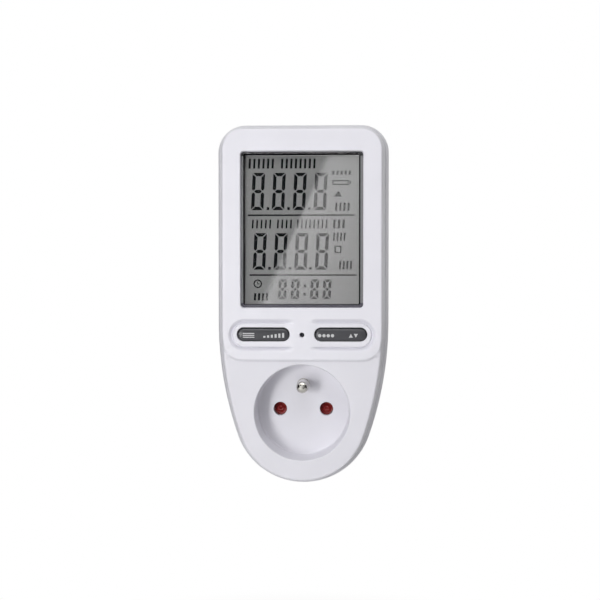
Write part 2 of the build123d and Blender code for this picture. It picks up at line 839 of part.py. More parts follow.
crystal_x = chip_side / 2 + crystal_length
with BuildPart() as crystal_can:
    with BuildSketch(Plane.YZ.offset(crystal_x - crystal_length / 2)):
        with Locations((crystal_radius - display_board_back_out, chip_z)):
            Circle(crystal_radius)
    extrude(amount=crystal_length)
export(crystal_can, "crystal_can")

# Silicone mat round the keys' contacts
leg_places = [
    (side * key_x + end * key_leg_offset, key_z) for side in (-1, 1) for end in (-1, 1)
]
with BuildPart() as keypad_mat:
    mat_half_width = key_x + key_leg_offset + mat_collar_radius
    with BuildSketch(at(display_board_out)):
        with Locations((0, key_z)):
            RectangleRounded(
                2 * mat_half_width, 2 * (mat_collar_radius + mat_margin / 2), mat_collar_radius
            )
            Rectangle(
                reset_switch_width + mat_collar_clearance,
                reset_switch_width + mat_collar_clearance,
                mode=Mode.SUBTRACT,
            )
    extrude(amount=mat_thickness)
    with BuildSketch(at(display_board_out)):
        with Locations(*leg_places):
            Circle(mat_collar_radius)
    extrude(amount=mat_thickness + mat_collar_height)
    with BuildSketch(at(display_board_out)):
        with Locations(*leg_places):
            Circle(mat_hole_radius)
    extrude(amount=mat_thickness + mat_collar_height, mode=Mode.SUBTRACT)
export(keypad_mat, "keypad_mat")


def rocker_key(centre_x):
    """Key cap with its flange, the legs over its contacts and the journals that it rocks on."""
    with BuildPart() as key:
        with BuildSketch(at(key_flange_out)):
            with Locations((centre_x, key_z)):
                SlotOverall(key_length, key_height)
        extrude(amount=key_top_out - key_flange_out)
        fillet(key.faces().sort_by(Axis.Y)[0].edges(), key_top_radius)
        with BuildSketch(at(key_flange_back_out)):
            with Locations((centre_x, key_z)):
                SlotOverall(key_length + 2 * key_flange, key_height + 2 * key_flange)
        extrude(amount=key_flange_thickness)
        with BuildSketch(at(carbon_front_out)):
            with Locations((centre_x - key_leg_offset, key_z), (centre_x + key_leg_offset, key_z)):
                Circle(key_leg_radius)
        extrude(amount=key_flange_back_out - carbon_front_out)
        with BuildSketch(Plane.XY.offset(key_z - journal_end)):
            with Locations((centre_x, -key_pivot_out)):
                Circle(key_journal_radius)
        extrude(amount=2 * journal_end)
    return key


def key_contacts(centre_x):
    """Two carbon pills under the legs of one key."""
    with BuildPart() as pills:
        with BuildSketch(at(carbon_back_out)):
            with Locations((centre_x - key_leg_offset, key_z), (centre_x + key_leg_offset, key_z)):
                Circle(carbon_radius)
        extrude(amount=carbon_thickness)
    return pills


for side_name, side in (("left", -1), ("right", 1)):
    export(rocker_key(side * key_x), f"{side_name}_key")
    export(key_contacts(side * key_x), f"{side_name}_key_contacts")

# Reset switch and its plunger
switch_front_out = display_board_out + reset_switch_height
with BuildPart() as reset_switch:
    add(block((0, key_z), reset_switch_width, reset_switch_width, display_board_out, switch_front_out))
    plunger_well = disc(
        (0, key_z),
        reset_plunger_radius + reset_clearance,
        switch_front_out - reset_plunger_depth - reset_travel - reset_clearance,
        switch_front_out,
    )
    add(plunger_well, mode=Mode.SUBTRACT)
export(reset_switch, "reset_switch")

with BuildPart() as reset_plunger:
    plunger_back_out = switch_front_out - reset_plunger_depth
    add(disc((0, key_z), reset_plunger_radius, plunger_back_out, switch_front_out + reset_plunger_proud))
    fillet(reset_plunger.faces().sort_by(Axis.Y)[0].edges(), reset_plunger_radius / 4)
export(reset_plunger, "reset_plunger")

# Power board with its screws
with BuildPart() as power_board:
    with BuildSketch(at(power_board_back_out)):
        with Locations((0, (power_board_top + power_board_bottom) / 2)):
            RectangleRounded(2 * board_half_width, power_board_top - power_board_bottom, board_corner_radius)
        with Locations(*post_places):
            Circle(board_screw_radius + screw_hole_clearance / 2, mode=Mode.SUBTRACT)
        for side in (-1, 1):
            with Locations((side * tail_x, tail_top - tail_tab_height / 2)):
                Rectangle(
                    contact_thickness + 2 * tail_clearance,
                    tail_tab_height + 2 * tail_clearance,
                    mode=Mode.SUBTRACT,
                )
        with Locations((bar_width / 4 - live_x, tail_top - bar_thickness / 2)):
            Rectangle(
                bar_width + 2 * tail_clearance,
                bar_thickness + 2 * tail_clearance,
                mode=Mode.SUBTRACT,
            )
    extrude(amount=board_thickness)
export(power_board, "power_board")

with BuildPart() as power_board_screws:
    with BuildSketch(at(rear_inner_out + screw_hole_clearance)):
        with Locations(*post_places):
            Circle(board_screw_radius)
    extrude(amount=power_board_out - rear_inner_out - screw_hole_clearance)
    with BuildSketch(at(power_board_out)):
        with Locations(*post_places):
            Circle(board_screw_head_radius)
    extrude(amount=board_screw_head_height)
    fillet(power_board_screws.faces().group_by(Axis.Y)[0].edges(), board_screw_head_height / 3)
export(power_board_screws, "power_board_screws")

with BuildPart() as case_screws:
    with BuildSketch(at(screw_seat_out)):
        with Locations(*case_screw_places):
            Circle(case_screw_radius)
    extrude(amount=case_screw_length)
    with BuildSketch(at(screw_seat_out)):
        with Locations(*case_screw_places):
            Circle(case_screw_head_radius)
    extrude(amount=-case_screw_head_height)
    fillet(case_screws.faces().group_by(Axis.Y)[-1].edges(), case_screw_head_height / 3)
export(case_screws, "case_screws")

# Parts that stand on the power board, from the bottom up
dropper_place = (-board_half_width / 2, tail_top + surge_radius + dropper_width)
surge_place = (board_half_width / 2, tail_top + surge_radius + surge_thickness)
smoothing_place = (board_half_width / 2, surge_place[1] + 2 * surge_radius + smoothing_radius / 2)
diode_x = board_half_width / 2
diode_start_z = smoothing_place[1] + smoothing_radius + diode_pitch
battery_length = battery_cells_count * battery_cell_length
battery_z = dropper_place[1] + dropper_width + 2 * battery_radius
battery_x = -board_half_width / 2

with BuildPart() as dropper_capacitor:
    add(block(dropper_place, dropper_length, dropper_width, power_board_out, power_board_out + part_height))
    fillet(dropper_capacitor.edges().filter_by(Axis.Y), dropper_width / 10)
export(dropper_capacitor, "dropper_capacitor")

with BuildPart() as surge_suppressor:
    with BuildSketch(Plane.YZ.offset(surge_place[0] - surge_thickness / 2)):
        with Locations((-power_board_out - surge_radius, surge_place[1])):
            Circle(surge_radius)
    extrude(amount=surge_thickness)
    fillet(surge_suppressor.edges(), surge_thickness / 4)
export(surge_suppressor, "surge_suppressor")

with BuildPart() as smoothing_capacitor:
    add(disc(smoothing_place, smoothing_radius, power_board_out, power_board_out + part_height))
    fillet(smoothing_capacitor.faces().sort_by(Axis.Y)[0].edges(), smoothing_radius / 8)
export(smoothing_capacitor, "smoothing_capacitor")

with BuildPart() as rectifier_diodes:
    with BuildSketch(Plane.YZ.offset(diode_x - diode_length / 2)):
        for row in range(4):
            with Locations((-power_board_out - diode_radius, diode_start_z + row * diode_pitch)):
                Circle(diode_radius)
    extrude(amount=diode_length)
export(rectifier_diodes, "rectifier_diodes")

with BuildPart() as battery_cells:
    cell_out = power_board_out + battery_radius + battery_clearance
    for cell in range(battery_cells_count):
        start_x = battery_x - battery_length / 2 + cell * battery_cell_length
        with BuildSketch(Plane.YZ.offset(start_x)):
            with Locations((-cell_out, battery_z)):
                Circle(battery_radius)
        extrude(amount=battery_cell_length - battery_clearance)
export(battery_cells, "battery_cells")

with BuildPart() as current_shunt:
    with BuildSketch(Plane.XZ.offset(power_board_out)):
        shunt_z = tail_top + surge_radius
        with Locations((-shunt_span / 2, shunt_z), (shunt_span / 2, shunt_z)):
            Rectangle(bar_thickness, shunt_width)
    extrude(amount=shunt_height)
    with BuildSketch(Plane.XZ.offset(power_board_out + shunt_height - bar_thickness)):
        with Locations((0, shunt_z)):
            Rectangle(shunt_span + bar_thickness, shunt_width)
    extrude(amount=bar_thickness)
    fillet(
        current_shunt.edges().filter_by(Axis.Z).group_by(Axis.Y)[0],
        bar_thickness * 0.9,
    )
export(current_shunt, "current_shunt")

with BuildPart() as board_link:
    link_z = upper_post_z - post_radius - 2 * link_body_width
    link_x = board_half_width / 2
    link_length = link_pins * link_pin_spacing
    for back_out in (power_board_out, display_board_back_out - link_body_width):
        add(block((link_x, link_z), link_length, link_body_width, back_out, back_out + link_body_width))
    with BuildSketch(at(power_board_out)):
        with Locations((link_x, link_z)):
            with GridLocations(link_pin_spacing, 1, link_pins, 1):
                Rectangle(link_pin_width, link_pin_width)
    extrude(amount=display_board_back_out - power_board_out)
export(board_link, "board_link")

# Safety shutter, its spring and the housing that they slide in
shutter_outline = [
    (shutter_half_width, shutter_top),
    (-shutter_half_width, shutter_top),
    (-shutter_half_width, shutter_corner - shutter_bottom),
    (shutter_corner - shutter_half_width, -shutter_bottom),
    (shutter_half_width - shutter_corner, -shutter_bottom),
    (shutter_half_width, shutter_corner - shutter_bottom),
]
with BuildPart() as shutter:
    with BuildSketch(at(shutter_back_out)):
        with BuildLine():
            Polyline(*shutter_outline, close=True)
        make_face()
    extrude(amount=shutter_thickness)
    for side in (-1, 1):
        with BuildSketch(Plane.YZ.offset(side * live_x - contact_entry_radius)):
            with BuildLine():
                Polyline(
                    (-shutter_front_out, shutter_top),
                    (-shutter_front_out, shutter_top - shutter_ramp_height),
                    (shutter_ramp_depth - shutter_front_out, shutter_top),
                    close=True,
                )
            make_face()
        extrude(amount=2 * contact_entry_radius, mode=Mode.SUBTRACT)
export(shutter, "shutter")


def well_insert(back_out, front_out):
    """Round insulator for the plug's bore, notched round the walls behind its grooves."""
    with BuildPart() as insert:
        add(disc((0, 0), housing_radius, back_out, front_out))
        notch = plug_radius
        for turn in (-1, 1):
            guide_notch = block(
                (turn * (side_flat + notch / 2), 0),
                notch,
                guide_groove_width + 2 * (groove_wall + groove_clearance),
                back_out,
                front_out,
            )
            add(guide_notch, mode=Mode.SUBTRACT)
            strip_notch = block(
                (0, turn * (top_flat + notch / 2)),
                strip_groove_width + 2 * (groove_wall + groove_clearance),
                notch,
                back_out,
                front_out,
            )
            add(strip_notch, mode=Mode.SUBTRACT)
    return insert.part


def earth_slot(back_out, front_out):
    """Cutter of a round-bottomed slot that drops over the earth sleeve from above."""
    with BuildPart() as slot:
        add(disc((0, earth_offset), earth_slot_radius, back_out, front_out))
        with BuildSketch(at(back_out)):
            with Locations((0, earth_offset)):
                Rectangle(2 * earth_slot_radius, plug_radius, align=(Align.CENTER, Align.MIN))
        extrude(amount=front_out - back_out)
    return slot.part


with BuildPart() as contact_housing:
    add(well_insert(housing_back_out, housing_front_out))
    pocket_top = shutter_top + pocket_clearance
    pocket_side = shutter_half_width + pocket_clearance
    pocket_bottom = -(shutter_bottom + shutter_travel + pocket_clearance)
    with BuildSketch(at(pocket_floor_out)):
        with BuildLine():
            Polyline(
                (pocket_side, pocket_top),
                (-pocket_side, pocket_top),
                (-pocket_side, pocket_bottom + shutter_corner),
                (shutter_corner - pocket_side, pocket_bottom),
                (pocket_side - shutter_corner, pocket_bottom),
                (pocket_side, pocket_bottom + shutter_corner),
                close=True,
            )
        make_face()
        with Locations((0, -spring_seat_z)):
            Rectangle(
                2 * (spring_radius + spring_wire_radius + spring_clearance),
                spring_seat_z,
                align=(Align.CENTER, Align.MIN),
            )
    extrude(amount=2 * pocket_depth, mode=Mode.SUBTRACT)
    with BuildSketch(at(housing_back_out)):
        with Locations((-live_x, 0), (live_x, 0)):
            Rectangle(2 * chamber_half_width, 2 * chamber_half_height)
    extrude(amount=chamber_front_out - housing_back_out, mode=Mode.SUBTRACT)
    with BuildSketch(at(chamber_front_out)):
        with Locations((-live_x, 0), (live_x, 0)):
            Circle(contact_entry_radius)
    extrude(amount=chamber_floor, mode=Mode.SUBTRACT)
    add(earth_slot(housing_back_out, housing_front_out), mode=Mode.SUBTRACT)
    with BuildSketch(at(tail_back_out - tail_clearance)):
        with Locations((-tail_x, 0), (tail_x, 0)):
            Rectangle(
                contact_thickness + 2 * tail_clearance, housing_radius, align=(Align.CENTER, Align.MIN)
            )
    extrude(amount=tail_width + 2 * tail_clearance, mode=Mode.SUBTRACT)
    with BuildSketch(at(housing_back_out)):
        with Locations((bar_width / 4 - live_x, bar_rise_z - tail_clearance)):
            Rectangle(
                bar_width + 2 * tail_clearance, housing_radius, align=(Align.CENTER, Align.MIN)
            )
    extrude(amount=bar_step_out + bar_thickness - housing_back_out, mode=Mode.SUBTRACT)
export(contact_housing, "contact_housing")

with BuildPart() as shutter_spring:
    spring_length = spring_seat_z - shutter_bottom
    coil_height = spring_length - 2 * spring_wire_radius
    with BuildLine() as coil:
        Helix(
            pitch=coil_height / spring_turns,
            height=coil_height,
            radius=spring_radius,
            center=(0, -spring_out, spring_wire_radius - spring_seat_z),
        )
    with BuildSketch(coil.line ^ 0):
        Circle(spring_wire_radius)
    sweep(is_frenet=True)
export(shutter_spring, "shutter_spring")


def spring_contact(side, rivet_radius):
    """Brass U that grips one live pin, with a tail that rises to the power board."""
    with BuildPart() as contact:
        with BuildSketch(Plane.XY.offset(-contact_height / 2)):
            with BuildLine():
                Polyline(
                    (side * live_x - leaf_outer, -contact_back_out + contact_thickness),
                    (side * live_x + leaf_outer, -contact_back_out + contact_thickness),
                    (side * live_x + leaf_outer, -contact_front_out),
                    (side * live_x + leaf_inner + contact_mouth_flare / 2, -contact_front_out),
                    (side * live_x + leaf_inner, contact_mouth_flare * 3 - contact_front_out),
                    (side * live_x + leaf_inner, -contact_back_out),
                    (side * live_x - leaf_inner, -contact_back_out),
                    (side * live_x - leaf_inner, contact_mouth_flare * 3 - contact_front_out),
                    (side * live_x - leaf_inner - contact_mouth_flare / 2, -contact_front_out),
                    (side * live_x - leaf_outer, -contact_front_out),
                    close=True,
                )
            make_face()
        extrude(amount=contact_height)
        tail_front_out = tail_back_out + tail_width
        add(block((side * tail_x, tail_top / 2), contact_thickness, tail_top, tail_back_out, tail_front_out))
        tab = block(
            (side * tail_x, tail_top - tail_tab_height / 2),
            contact_thickness,
            tail_tab_height,
            tail_back_out,
            power_board_out + tail_tab_proud,
        )
        add(tab)
        if rivet_radius > 0:
            rivet_hole = disc(
                (side * live_x, 0), rivet_radius, contact_back_out - contact_thickness, contact_back_out
            )
            add(rivet_hole, mode=Mode.SUBTRACT)
    return contact


export(spring_contact(-1, 0), "live_contact")
export(spring_contact(1, pin_root_radius), "neutral_contact")


def plug_pin(side, root_out):
    """Plug pin with a round tip, a neck in the plug's face, a flange and a root."""
    place = (side * live_x, 0)
    with BuildPart() as pin:
        add(disc(place, pin_radius, -pin_length, 0))
        fillet(pin.faces().sort_by(Axis.Y)[-1].edges(), pin_tip_radius)
        add(disc(place, pin_neck_radius, 0, plug_face_wall))
        add(disc(place, pin_flange_radius, plug_face_wall, carrier_back_out))
        add(disc(place, pin_root_radius, carrier_back_out, root_out))
    return pin


export(plug_pin(-1, live_root_out), "live_plug_pin")
export(plug_pin(1, contact_back_out + contact_gap), "neutral_plug_pin")

with BuildPart() as pin_carrier:
    add(well_insert(carrier_back_out, carrier_front_out))
    with BuildSketch(at(carrier_back_out)):
        with Locations((-live_x, 0), (live_x, 0)):
            Circle(pin_root_radius + pin_clearance)
    extrude(amount=carrier_thickness, mode=Mode.SUBTRACT)
    add(earth_slot(carrier_back_out, carrier_front_out), mode=Mode.SUBTRACT)
export(pin_carrier, "pin_carrier")

with BuildPart() as plug_earth_sleeve:
    add(disc((0, earth_offset), sleeve_radius, plug_face_wall, sleeve_end_out))
    sleeve_hollow = disc((0, earth_offset), sleeve_bore, plug_face_wall, sleeve_end_out - sleeve_cap)
    add(sleeve_hollow, mode=Mode.SUBTRACT)
    rivet_hole = disc((0, earth_offset), earth_root_radius, plug_face_wall, sleeve_end_out)
    add(rivet_hole, mode=Mode.SUBTRACT)
export(plug_earth_sleeve, "plug_earth_sleeve")

with BuildPart() as plug_earth_strip:
    strip_z = strip_floor + pin_clearance
    for side in (-1, 1):
        leg = block(
            (0, side * (strip_z + strip_thickness / 2)),
            strip_width,
            strip_thickness,
            strip_start_out,
            carrier_front_out + strip_thickness,
        )
        add(leg)
    crossbar_front_out = carrier_front_out + strip_thickness
    add(block((0, 0), strip_width, 2 * strip_z, carrier_front_out, crossbar_front_out))
    add(block((0, 0), crossbar_width, 2 * crossbar_half_height, carrier_front_out, crossbar_front_out))
    sleeve_hole = disc((0, earth_offset), sleeve_radius, carrier_front_out, crossbar_front_out)
    add(sleeve_hole, mode=Mode.SUBTRACT)
export(plug_earth_strip, "plug_earth_strip")

# Bar from the live plug pin to the power board
with BuildPart() as live_bar:
    bar_x = bar_width / 4 - live_x
    foot_out = live_root_out - bar_thickness
    with BuildSketch(Plane.YZ.offset(bar_x - bar_width / 2)):
        with Locations((-foot_out - bar_thickness / 2, 0)):
            Rectangle(bar_thickness, bar_rise_z + bar_thickness, align=(Align.CENTER, Align.MIN))
        with Locations((-foot_out, bar_rise_z)):
            Rectangle(bar_step_out + bar_thickness - foot_out, bar_thickness, align=(Align.MAX, Align.MIN))
        with Locations((-bar_step_out - bar_thickness / 2, bar_rise_z)):
            Rectangle(bar_thickness, tail_top - bar_rise_z, align=(Align.CENTER, Align.MIN))
        with Locations((-bar_step_out, tail_top)):
            Rectangle(
                power_board_out + tail_tab_proud - bar_step_out, bar_thickness, align=(Align.MAX, Align.MAX)
            )
    extrude(amount=bar_width)
    add(disc((-live_x, 0), pin_flange_radius, foot_out, live_root_out))
    add(disc((-live_x, 0), pin_root_radius, foot_out, live_root_out), mode=Mode.SUBTRACT)
export(live_bar, "live_bar")
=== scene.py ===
"""Plug-in energy meter: the finished surfaces, materials, light and camera round the fixed frame.

Sizes are in millimetres and become metres when a piece is made. X runs right and Z up, and a name that
ends in _out is a distance in front of the plug's engagement face, so it lies at Y = -out. Sizes of the
stage and its lamps, and those inside materials, are in metres.
"""

import json

import bpy
import bmesh
import numpy as np
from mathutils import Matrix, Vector
from mathutils.geometry import delaunay_2d_cdt

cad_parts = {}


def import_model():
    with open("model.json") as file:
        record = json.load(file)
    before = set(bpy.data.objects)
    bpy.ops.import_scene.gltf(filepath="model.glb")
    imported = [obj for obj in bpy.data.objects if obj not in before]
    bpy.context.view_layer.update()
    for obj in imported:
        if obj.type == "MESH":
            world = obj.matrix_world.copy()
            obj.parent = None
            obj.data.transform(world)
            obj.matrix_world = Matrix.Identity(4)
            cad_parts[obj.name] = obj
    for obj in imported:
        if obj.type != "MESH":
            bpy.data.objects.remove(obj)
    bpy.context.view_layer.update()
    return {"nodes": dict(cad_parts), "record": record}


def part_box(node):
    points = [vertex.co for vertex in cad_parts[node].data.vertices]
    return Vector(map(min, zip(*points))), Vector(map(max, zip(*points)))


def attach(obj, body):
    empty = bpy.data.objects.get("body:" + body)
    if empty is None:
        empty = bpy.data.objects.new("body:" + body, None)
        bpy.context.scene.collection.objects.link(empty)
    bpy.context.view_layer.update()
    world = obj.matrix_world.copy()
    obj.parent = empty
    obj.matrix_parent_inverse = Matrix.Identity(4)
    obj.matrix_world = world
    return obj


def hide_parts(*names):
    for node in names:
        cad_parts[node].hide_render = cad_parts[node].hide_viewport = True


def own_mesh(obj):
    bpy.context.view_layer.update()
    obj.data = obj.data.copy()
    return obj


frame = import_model()
MM = 0.001

# Case
case_half_width = 34.95
case_top = 116.4
case_bottom = 30.3
top_corner_radius = 11.25
bottom_arc_radius = 28.5
side_arc_start = 36.0
parting_out = 40.0
panel_out = 50.0
panel_step = 1.0
socket_face_out = panel_out - panel_step
front_wall = 2.2
panel_back_out = panel_out - front_wall
socket_back_out = socket_face_out - front_wall
side_wall = 2.0
parting_inset = 1.3
face_inset = 3.05
face_edge_radius = 0.95
face_edge_lead = 0.15
seam_chamfer = 0.25
parting_ledge = 0.3
lip_height = 1.4

# Points along each run of the case outline
wall_points = 24
corner_points = 28
top_points = 16
side_arc_points = 150
bottom_arc_points = 130

# Raised panel and key recess
panel_edge_z = 20.95
panel_corner_radius = 8.0
panel_half_width = 31.9
panel_edge_blend = 1.2
pocket_edge_z = 23.15
recess_half_length = 28.2
recess_height = 10.5
recess_z = 31.1
recess_depth = 1.55
recess_edge_blend = 1.7
recess_edge_shift = 0.55
recess_rise = 1.25
recess_rise_at = 0.45
recess_rise_blend = 0.6
saddle_half_width = 2.9
saddle_ramp = 4.6

# Lines and grid points that the face is built over
step_line_inset = 5.35
pocket_line_reach = 28.5
grid_step = 0.75
grid_reach = 27.0
grid_low = 26.9
grid_high = 36.2
grid_margin = 0.2

# Window
window_width = 49.2
window_height = 62.5
window_z = 73.15
window_radius = 1.5
window_edge_radius = 0.4
ledge_front_out = 48.0
ledge_width = 1.0
ledge_back_out = 46.8
window_frame_wall = 1.3
lens_clearance = 0.2
lens_radius = window_radius - lens_clearance
lens_bevel = 1.2
lens_bevel_drop = 0.45
plate_chamfer = 0.1

# Keys; their openings stand key_sag above them
key_x = 15.475
key_z = 31.2
key_length = 20.55
key_height = 5.0
key_gap = 0.3
key_sag = 0.2
key_opening_edge = 0.25
key_top_out = 49.9
key_crown = 0.18
key_edge_radius = 0.75
key_ridge = 0.02
key_flange = 0.7
key_flange_out = 46.684
key_flange_thickness = 0.9
key_leg_x = 7.0
key_leg_radius = 1.3
key_leg_out = 41.5
key_leg_root = 0.3
journal_radius = 0.8
journal_reach = 1.4

# Lugs that the keys rock in
key_pivot_out = key_flange_out - key_flange_thickness / 2
key_lug_radius = 1.66
key_lug_hole_radius = 0.86
key_lug_start = 3.5
key_lug_end = 4.6
key_lug_root = 0.2

# Pinhole of the reset button
reset_hole_radius = 0.95
reset_hole_edge = 0.15
reset_guide_radius = 2.0
reset_guide_out = 45.1

# Screw bosses of the front moulding
case_bosses = [(-26.9, 17.5), (26.9, 17.5), (-26.9, 108.7), (26.9, 108.7)]
case_boss_radius = 2.9
case_screw_radius = 1.45
case_boss_out = 38.39
case_hole_cover = 1.1
board_posts = [(-27.5, 38.0), (27.5, 38.0), (-27.5, 99.0), (27.5, 99.0)]
board_post_radius = 2.3
board_screw_radius = 1.0
board_out = 40.0
board_screw_length = 6.0
boss_root = 0.3

# Socket
bowl_radius = 19.15
bowl_rim_radius = 0.5
cup_front_out = 47.0
cup_outer_radius = 20.65
cup_clearance = 0.1
cup_chamfer = 0.75
ring_outer_radius = 22.2
ring_back_out = 41.0
bowl_floor_out = 34.0
bowl_back_out = 31.5
bowl_taper = 0.25
bowl_corner_radius = 1.0
live_x = 9.5
live_hole_radius = 2.75
live_hole_chamfer = 0.15
earth_z = 10.0
earth_hole_radius = 1.95

# Shutter, with a ring groove round a dimple behind each live hole
shutter_half_width = 12.6
shutter_top = 3.1
shutter_bottom = -3.0
shutter_corner = 2.6
shutter_front_out = 31.1
shutter_back_out = 28.6
shutter_ramp_depth = 1.8
shutter_ramp_height = 3.4
shutter_ramp_half_width = 3.0
shutter_ramp_edge = 0.05
groove_depth = 0.45
groove_radius = 1.6
groove_width = 0.28
dimple_depth = 0.5
dimple_radius = 0.45
mark_step = 0.12
mark_reach = 2.9
shutter_rim_gap = 0.01
shutter_rim_share = 0.99

# Shutter's spring
spring_wire_radius = 0.2
spring_turns = 6
spring_end_turns = 0.8
spring_closed_pitch = 0.42
spring_steps_per_turn = 40

# Earth pin, from its root in the plug's sleeve to its tip in the bowl
pin_radius = 2.4
earth_root_out = 16.5
earth_root_radius = 1.5
earth_neck_out = 31.4
earth_neck_radius = 1.9
earth_shoulder_radius = 2.6
earth_shoulder_height = 0.6
earth_shoulder_chamfer = 0.15
earth_tip_radius = 1.5
earth_pin_out = 48.0

# Plug's live pins: a root that the contact grips, a collar and a neck inside, and the pin itself outside
pin_roots = [(-1, "live_plug_pin", 10.2), (1, "neutral_plug_pin", 14.2)]
pin_root_radius = 1.6
pin_collar_radius = 3.4
pin_collar_out = 3.7
pin_collar_back_out = 2.5
pin_neck_radius = 2.2
pin_tip_radius = 2.3
plug_pin_length = 19.0

# Where the printed border's black line starts and ends, inside the lens's left, right, foot and head; the
# line is print with painted shade, widest at the head and narrowest at the foot, where shade from the
# window's edge falls
black_line_and_shade_start = (0.89, 1.13, 1.2, 0.68)
black_line_and_shade_end = (1.46, 1.72, 1.45, 1.4)

# Display glass and the strokes behind it
glass_radius = 0.3
cell_gap = 0.06
stroke_lift = 0.005
stroke_thickness = 0.03

# Figures as (left, baseline, width, height, stroke, slant), a share of the stroke apart
segment_gap = 0.22
digits = [(x, 81.15, 5.0, 14.9, 1.35, 0.7) for x in (-20.6, -12.25, -3.85, 4.5)]
digits += [(x, 57.25, 5.0, 14.65, 1.35, 0.7) for x in (-19.9, -11.55, -3.25, 5.05)]
digits += [(x, 45.45, 3.3, 7.9, 1.15, 0.4) for x in (-9.8, -4.7, 3.05, 8.1)]
points = [(-13.8, 81.75), (-5.5, 81.75), (2.8, 81.75), (-13.15, 57.8), (-4.9, 57.8), (3.3, 57.8)]
points += [(0.95, 47.4), (1.1, 50.7)]
point_width = 1.05
point_height = 1.15
point_radius = 0.2

# Dividing lines as (left end, right end, z)
dividers = [(-21.9, 20.9, 79.1), (-21.2, 21.8, 55.1)]
divider_height = 0.62
divider_radius = 0.25

# Rows of tally bars as (left, base, count, pitch, height, width)
bar_rows = [
    (-21.6, 97.8, 6, 1.85, 3.9, 0.85),
    (-8.6, 97.8, 8, 1.85, 3.9, 0.85),
    (-20.3, 73.8, 5, 1.75, 3.5, 0.65),
    (-10.2, 73.8, 4, 1.75, 3.5, 0.65),
    (-2.2, 73.8, 8, 1.65, 3.5, 0.6),
    (12.3, 73.8, 3, 1.85, 3.5, 0.9),
    (11.9, 95.3, 5, 1.65, 1.6, 0.9),
    (14.7, 57.4, 4, 1.45, 3.4, 0.75),
    (13.1, 80.9, 4, 1.65, 3.1, 0.8),
    (12.3, 68.8, 4, 1.4, 3.3, 0.7),
    (-19.5, 44.9, 4, 1.6, 2.9, 0.85),
]
bar_slant = 0.2

# Small signs of the display; their bars are (left, base, width, height)
battery_bars = [(12.0, 91.1, 6.6, 0.5), (12.0, 92.6, 6.6, 0.5), (12.0, 91.7, 0.5, 0.8)]
battery_bars += [(18.1, 91.7, 0.5, 0.8), (18.9, 91.5, 0.6, 1.2)]
triangle_sign = [(12.7, 86.5), (15.9, 86.5), (14.4, 88.9)]
square_bars = [(12.9, 63.9, 0.55, 3.0), (13.6, 66.4, 1.4, 0.5), (13.6, 63.9, 1.4, 0.5)]
square_bars += [(15.15, 63.9, 0.55, 3.0)]
clock_centre = (-17.9, 51.6)
clock_radius = 1.75
clock_stroke = 0.5
clock_hands = [(-18.05, 51.55, 0.3, 0.95), (-18.05, 51.4, 0.9, 0.3)]

# Prints on the keys: long and growing bars on the left one, dots and two triangles on the right one
print_sink = 0.15
print_lift = 0.02
long_bars = [(-23.6, z, 4.6, 0.36) for z in (30.1, 30.85, 31.6)]
growing_bars = [(-15.4 + 1.5 * step, 30.1, 0.8, 0.7 + 0.24 * step) for step in range(6)]
dot_places = [(7.1 + 1.7 * step, 30.95) for step in range(4)]
dot_radius = 0.66
up_triangle = [(18.7, 30.2), (20.3, 30.2), (19.5, 31.7)]
down_triangle = [(20.7, 31.7), (21.5, 30.2), (22.3, 31.7)]

# Stage, in metres: camera, mirrored card, dark flags, floor and lamps
camera_place = (0.01895, -0.5395, 0.05718)
camera_target = (-0.00075, -0.05, 0.04518)
camera_lens = 73.8
card_y = -0.7
card_half_width = 0.55
card_low = -0.1
card_high = 0.32
card_edge_head = (-0.0027, 0.1625)
card_edge_foot = (-0.0521, 0.0439)
card_edge_blur = 0.002
card_fade = 0.11
card_peak = 1.2
card_rest = 0.15
flag_low = -0.25
flag_high = 0.4
floor_half_width = 3.0
floor_z = -0.14
floor_fade_start = 0.1
floor_fade_end = 0.26
surround_strength = 0.12
lamp_target = (0.0, -0.03, 0.045)

# Lamps as (name, place, width, power, kinds of rays that don't see the lamp)
lamps = [
    ("key_light", (-0.35, -0.93, 0.06), 0.16, 2.56, []),
    ("low_light", (-0.28, -0.72, -0.1), 0.1, 0.74, ["glossy", "transmission"]),
    ("front_light", (0.0, -0.85, 1.0), 0.8, 5.5, []),
    ("top_light", (0.0, -0.2, 1.35), 0.8, 1.9, []),
    ("back_light", (0.25, 1.3, 0.35), 0.9, 9.5, ["glossy"]),
]


def line(start, end, count):
    """Points along a straight run, its end left out: start + share * (end - start)."""
    share = np.arange(count)[:, None] / count
    return np.array(start) + share * (np.array(end) - np.array(start))


def arc(centre, radius, start, sweep, count, ends=False):
    """Points round an arc: centre + radius * (cos, sin) at even angles, the last one only with ends."""
    angle = np.radians(start + sweep * np.arange(count + ends) / count)
    return np.column_stack((centre[0] + radius * np.cos(angle), centre[1] + radius * np.sin(angle)))


def circle(centre, radius, count):
    """Points round a circle, anticlockwise from +X."""
    return arc(centre, radius, 0, 360, count)


def edge_round(across, out, across_reach, out_reach, count, start=0):
    """(across, out) steps of a quarter ellipse that turns a wall onto a face.

    At angle a, from start to 90 degrees, they are across + across_reach * (1 - cos a) and
    out - out_reach * (1 - sin a).
    """
    angle = np.radians(np.linspace(start, 90, count))
    inward = across + across_reach * (1 - np.cos(angle))
    return np.column_stack((inward, out - out_reach * (1 - np.sin(angle))))


def stepped(*walls):
    """(across, out) steps of a staircase, from each wall's distance across and the levels of its ends."""
    return [(across, out) for across, *levels in walls for out in levels]


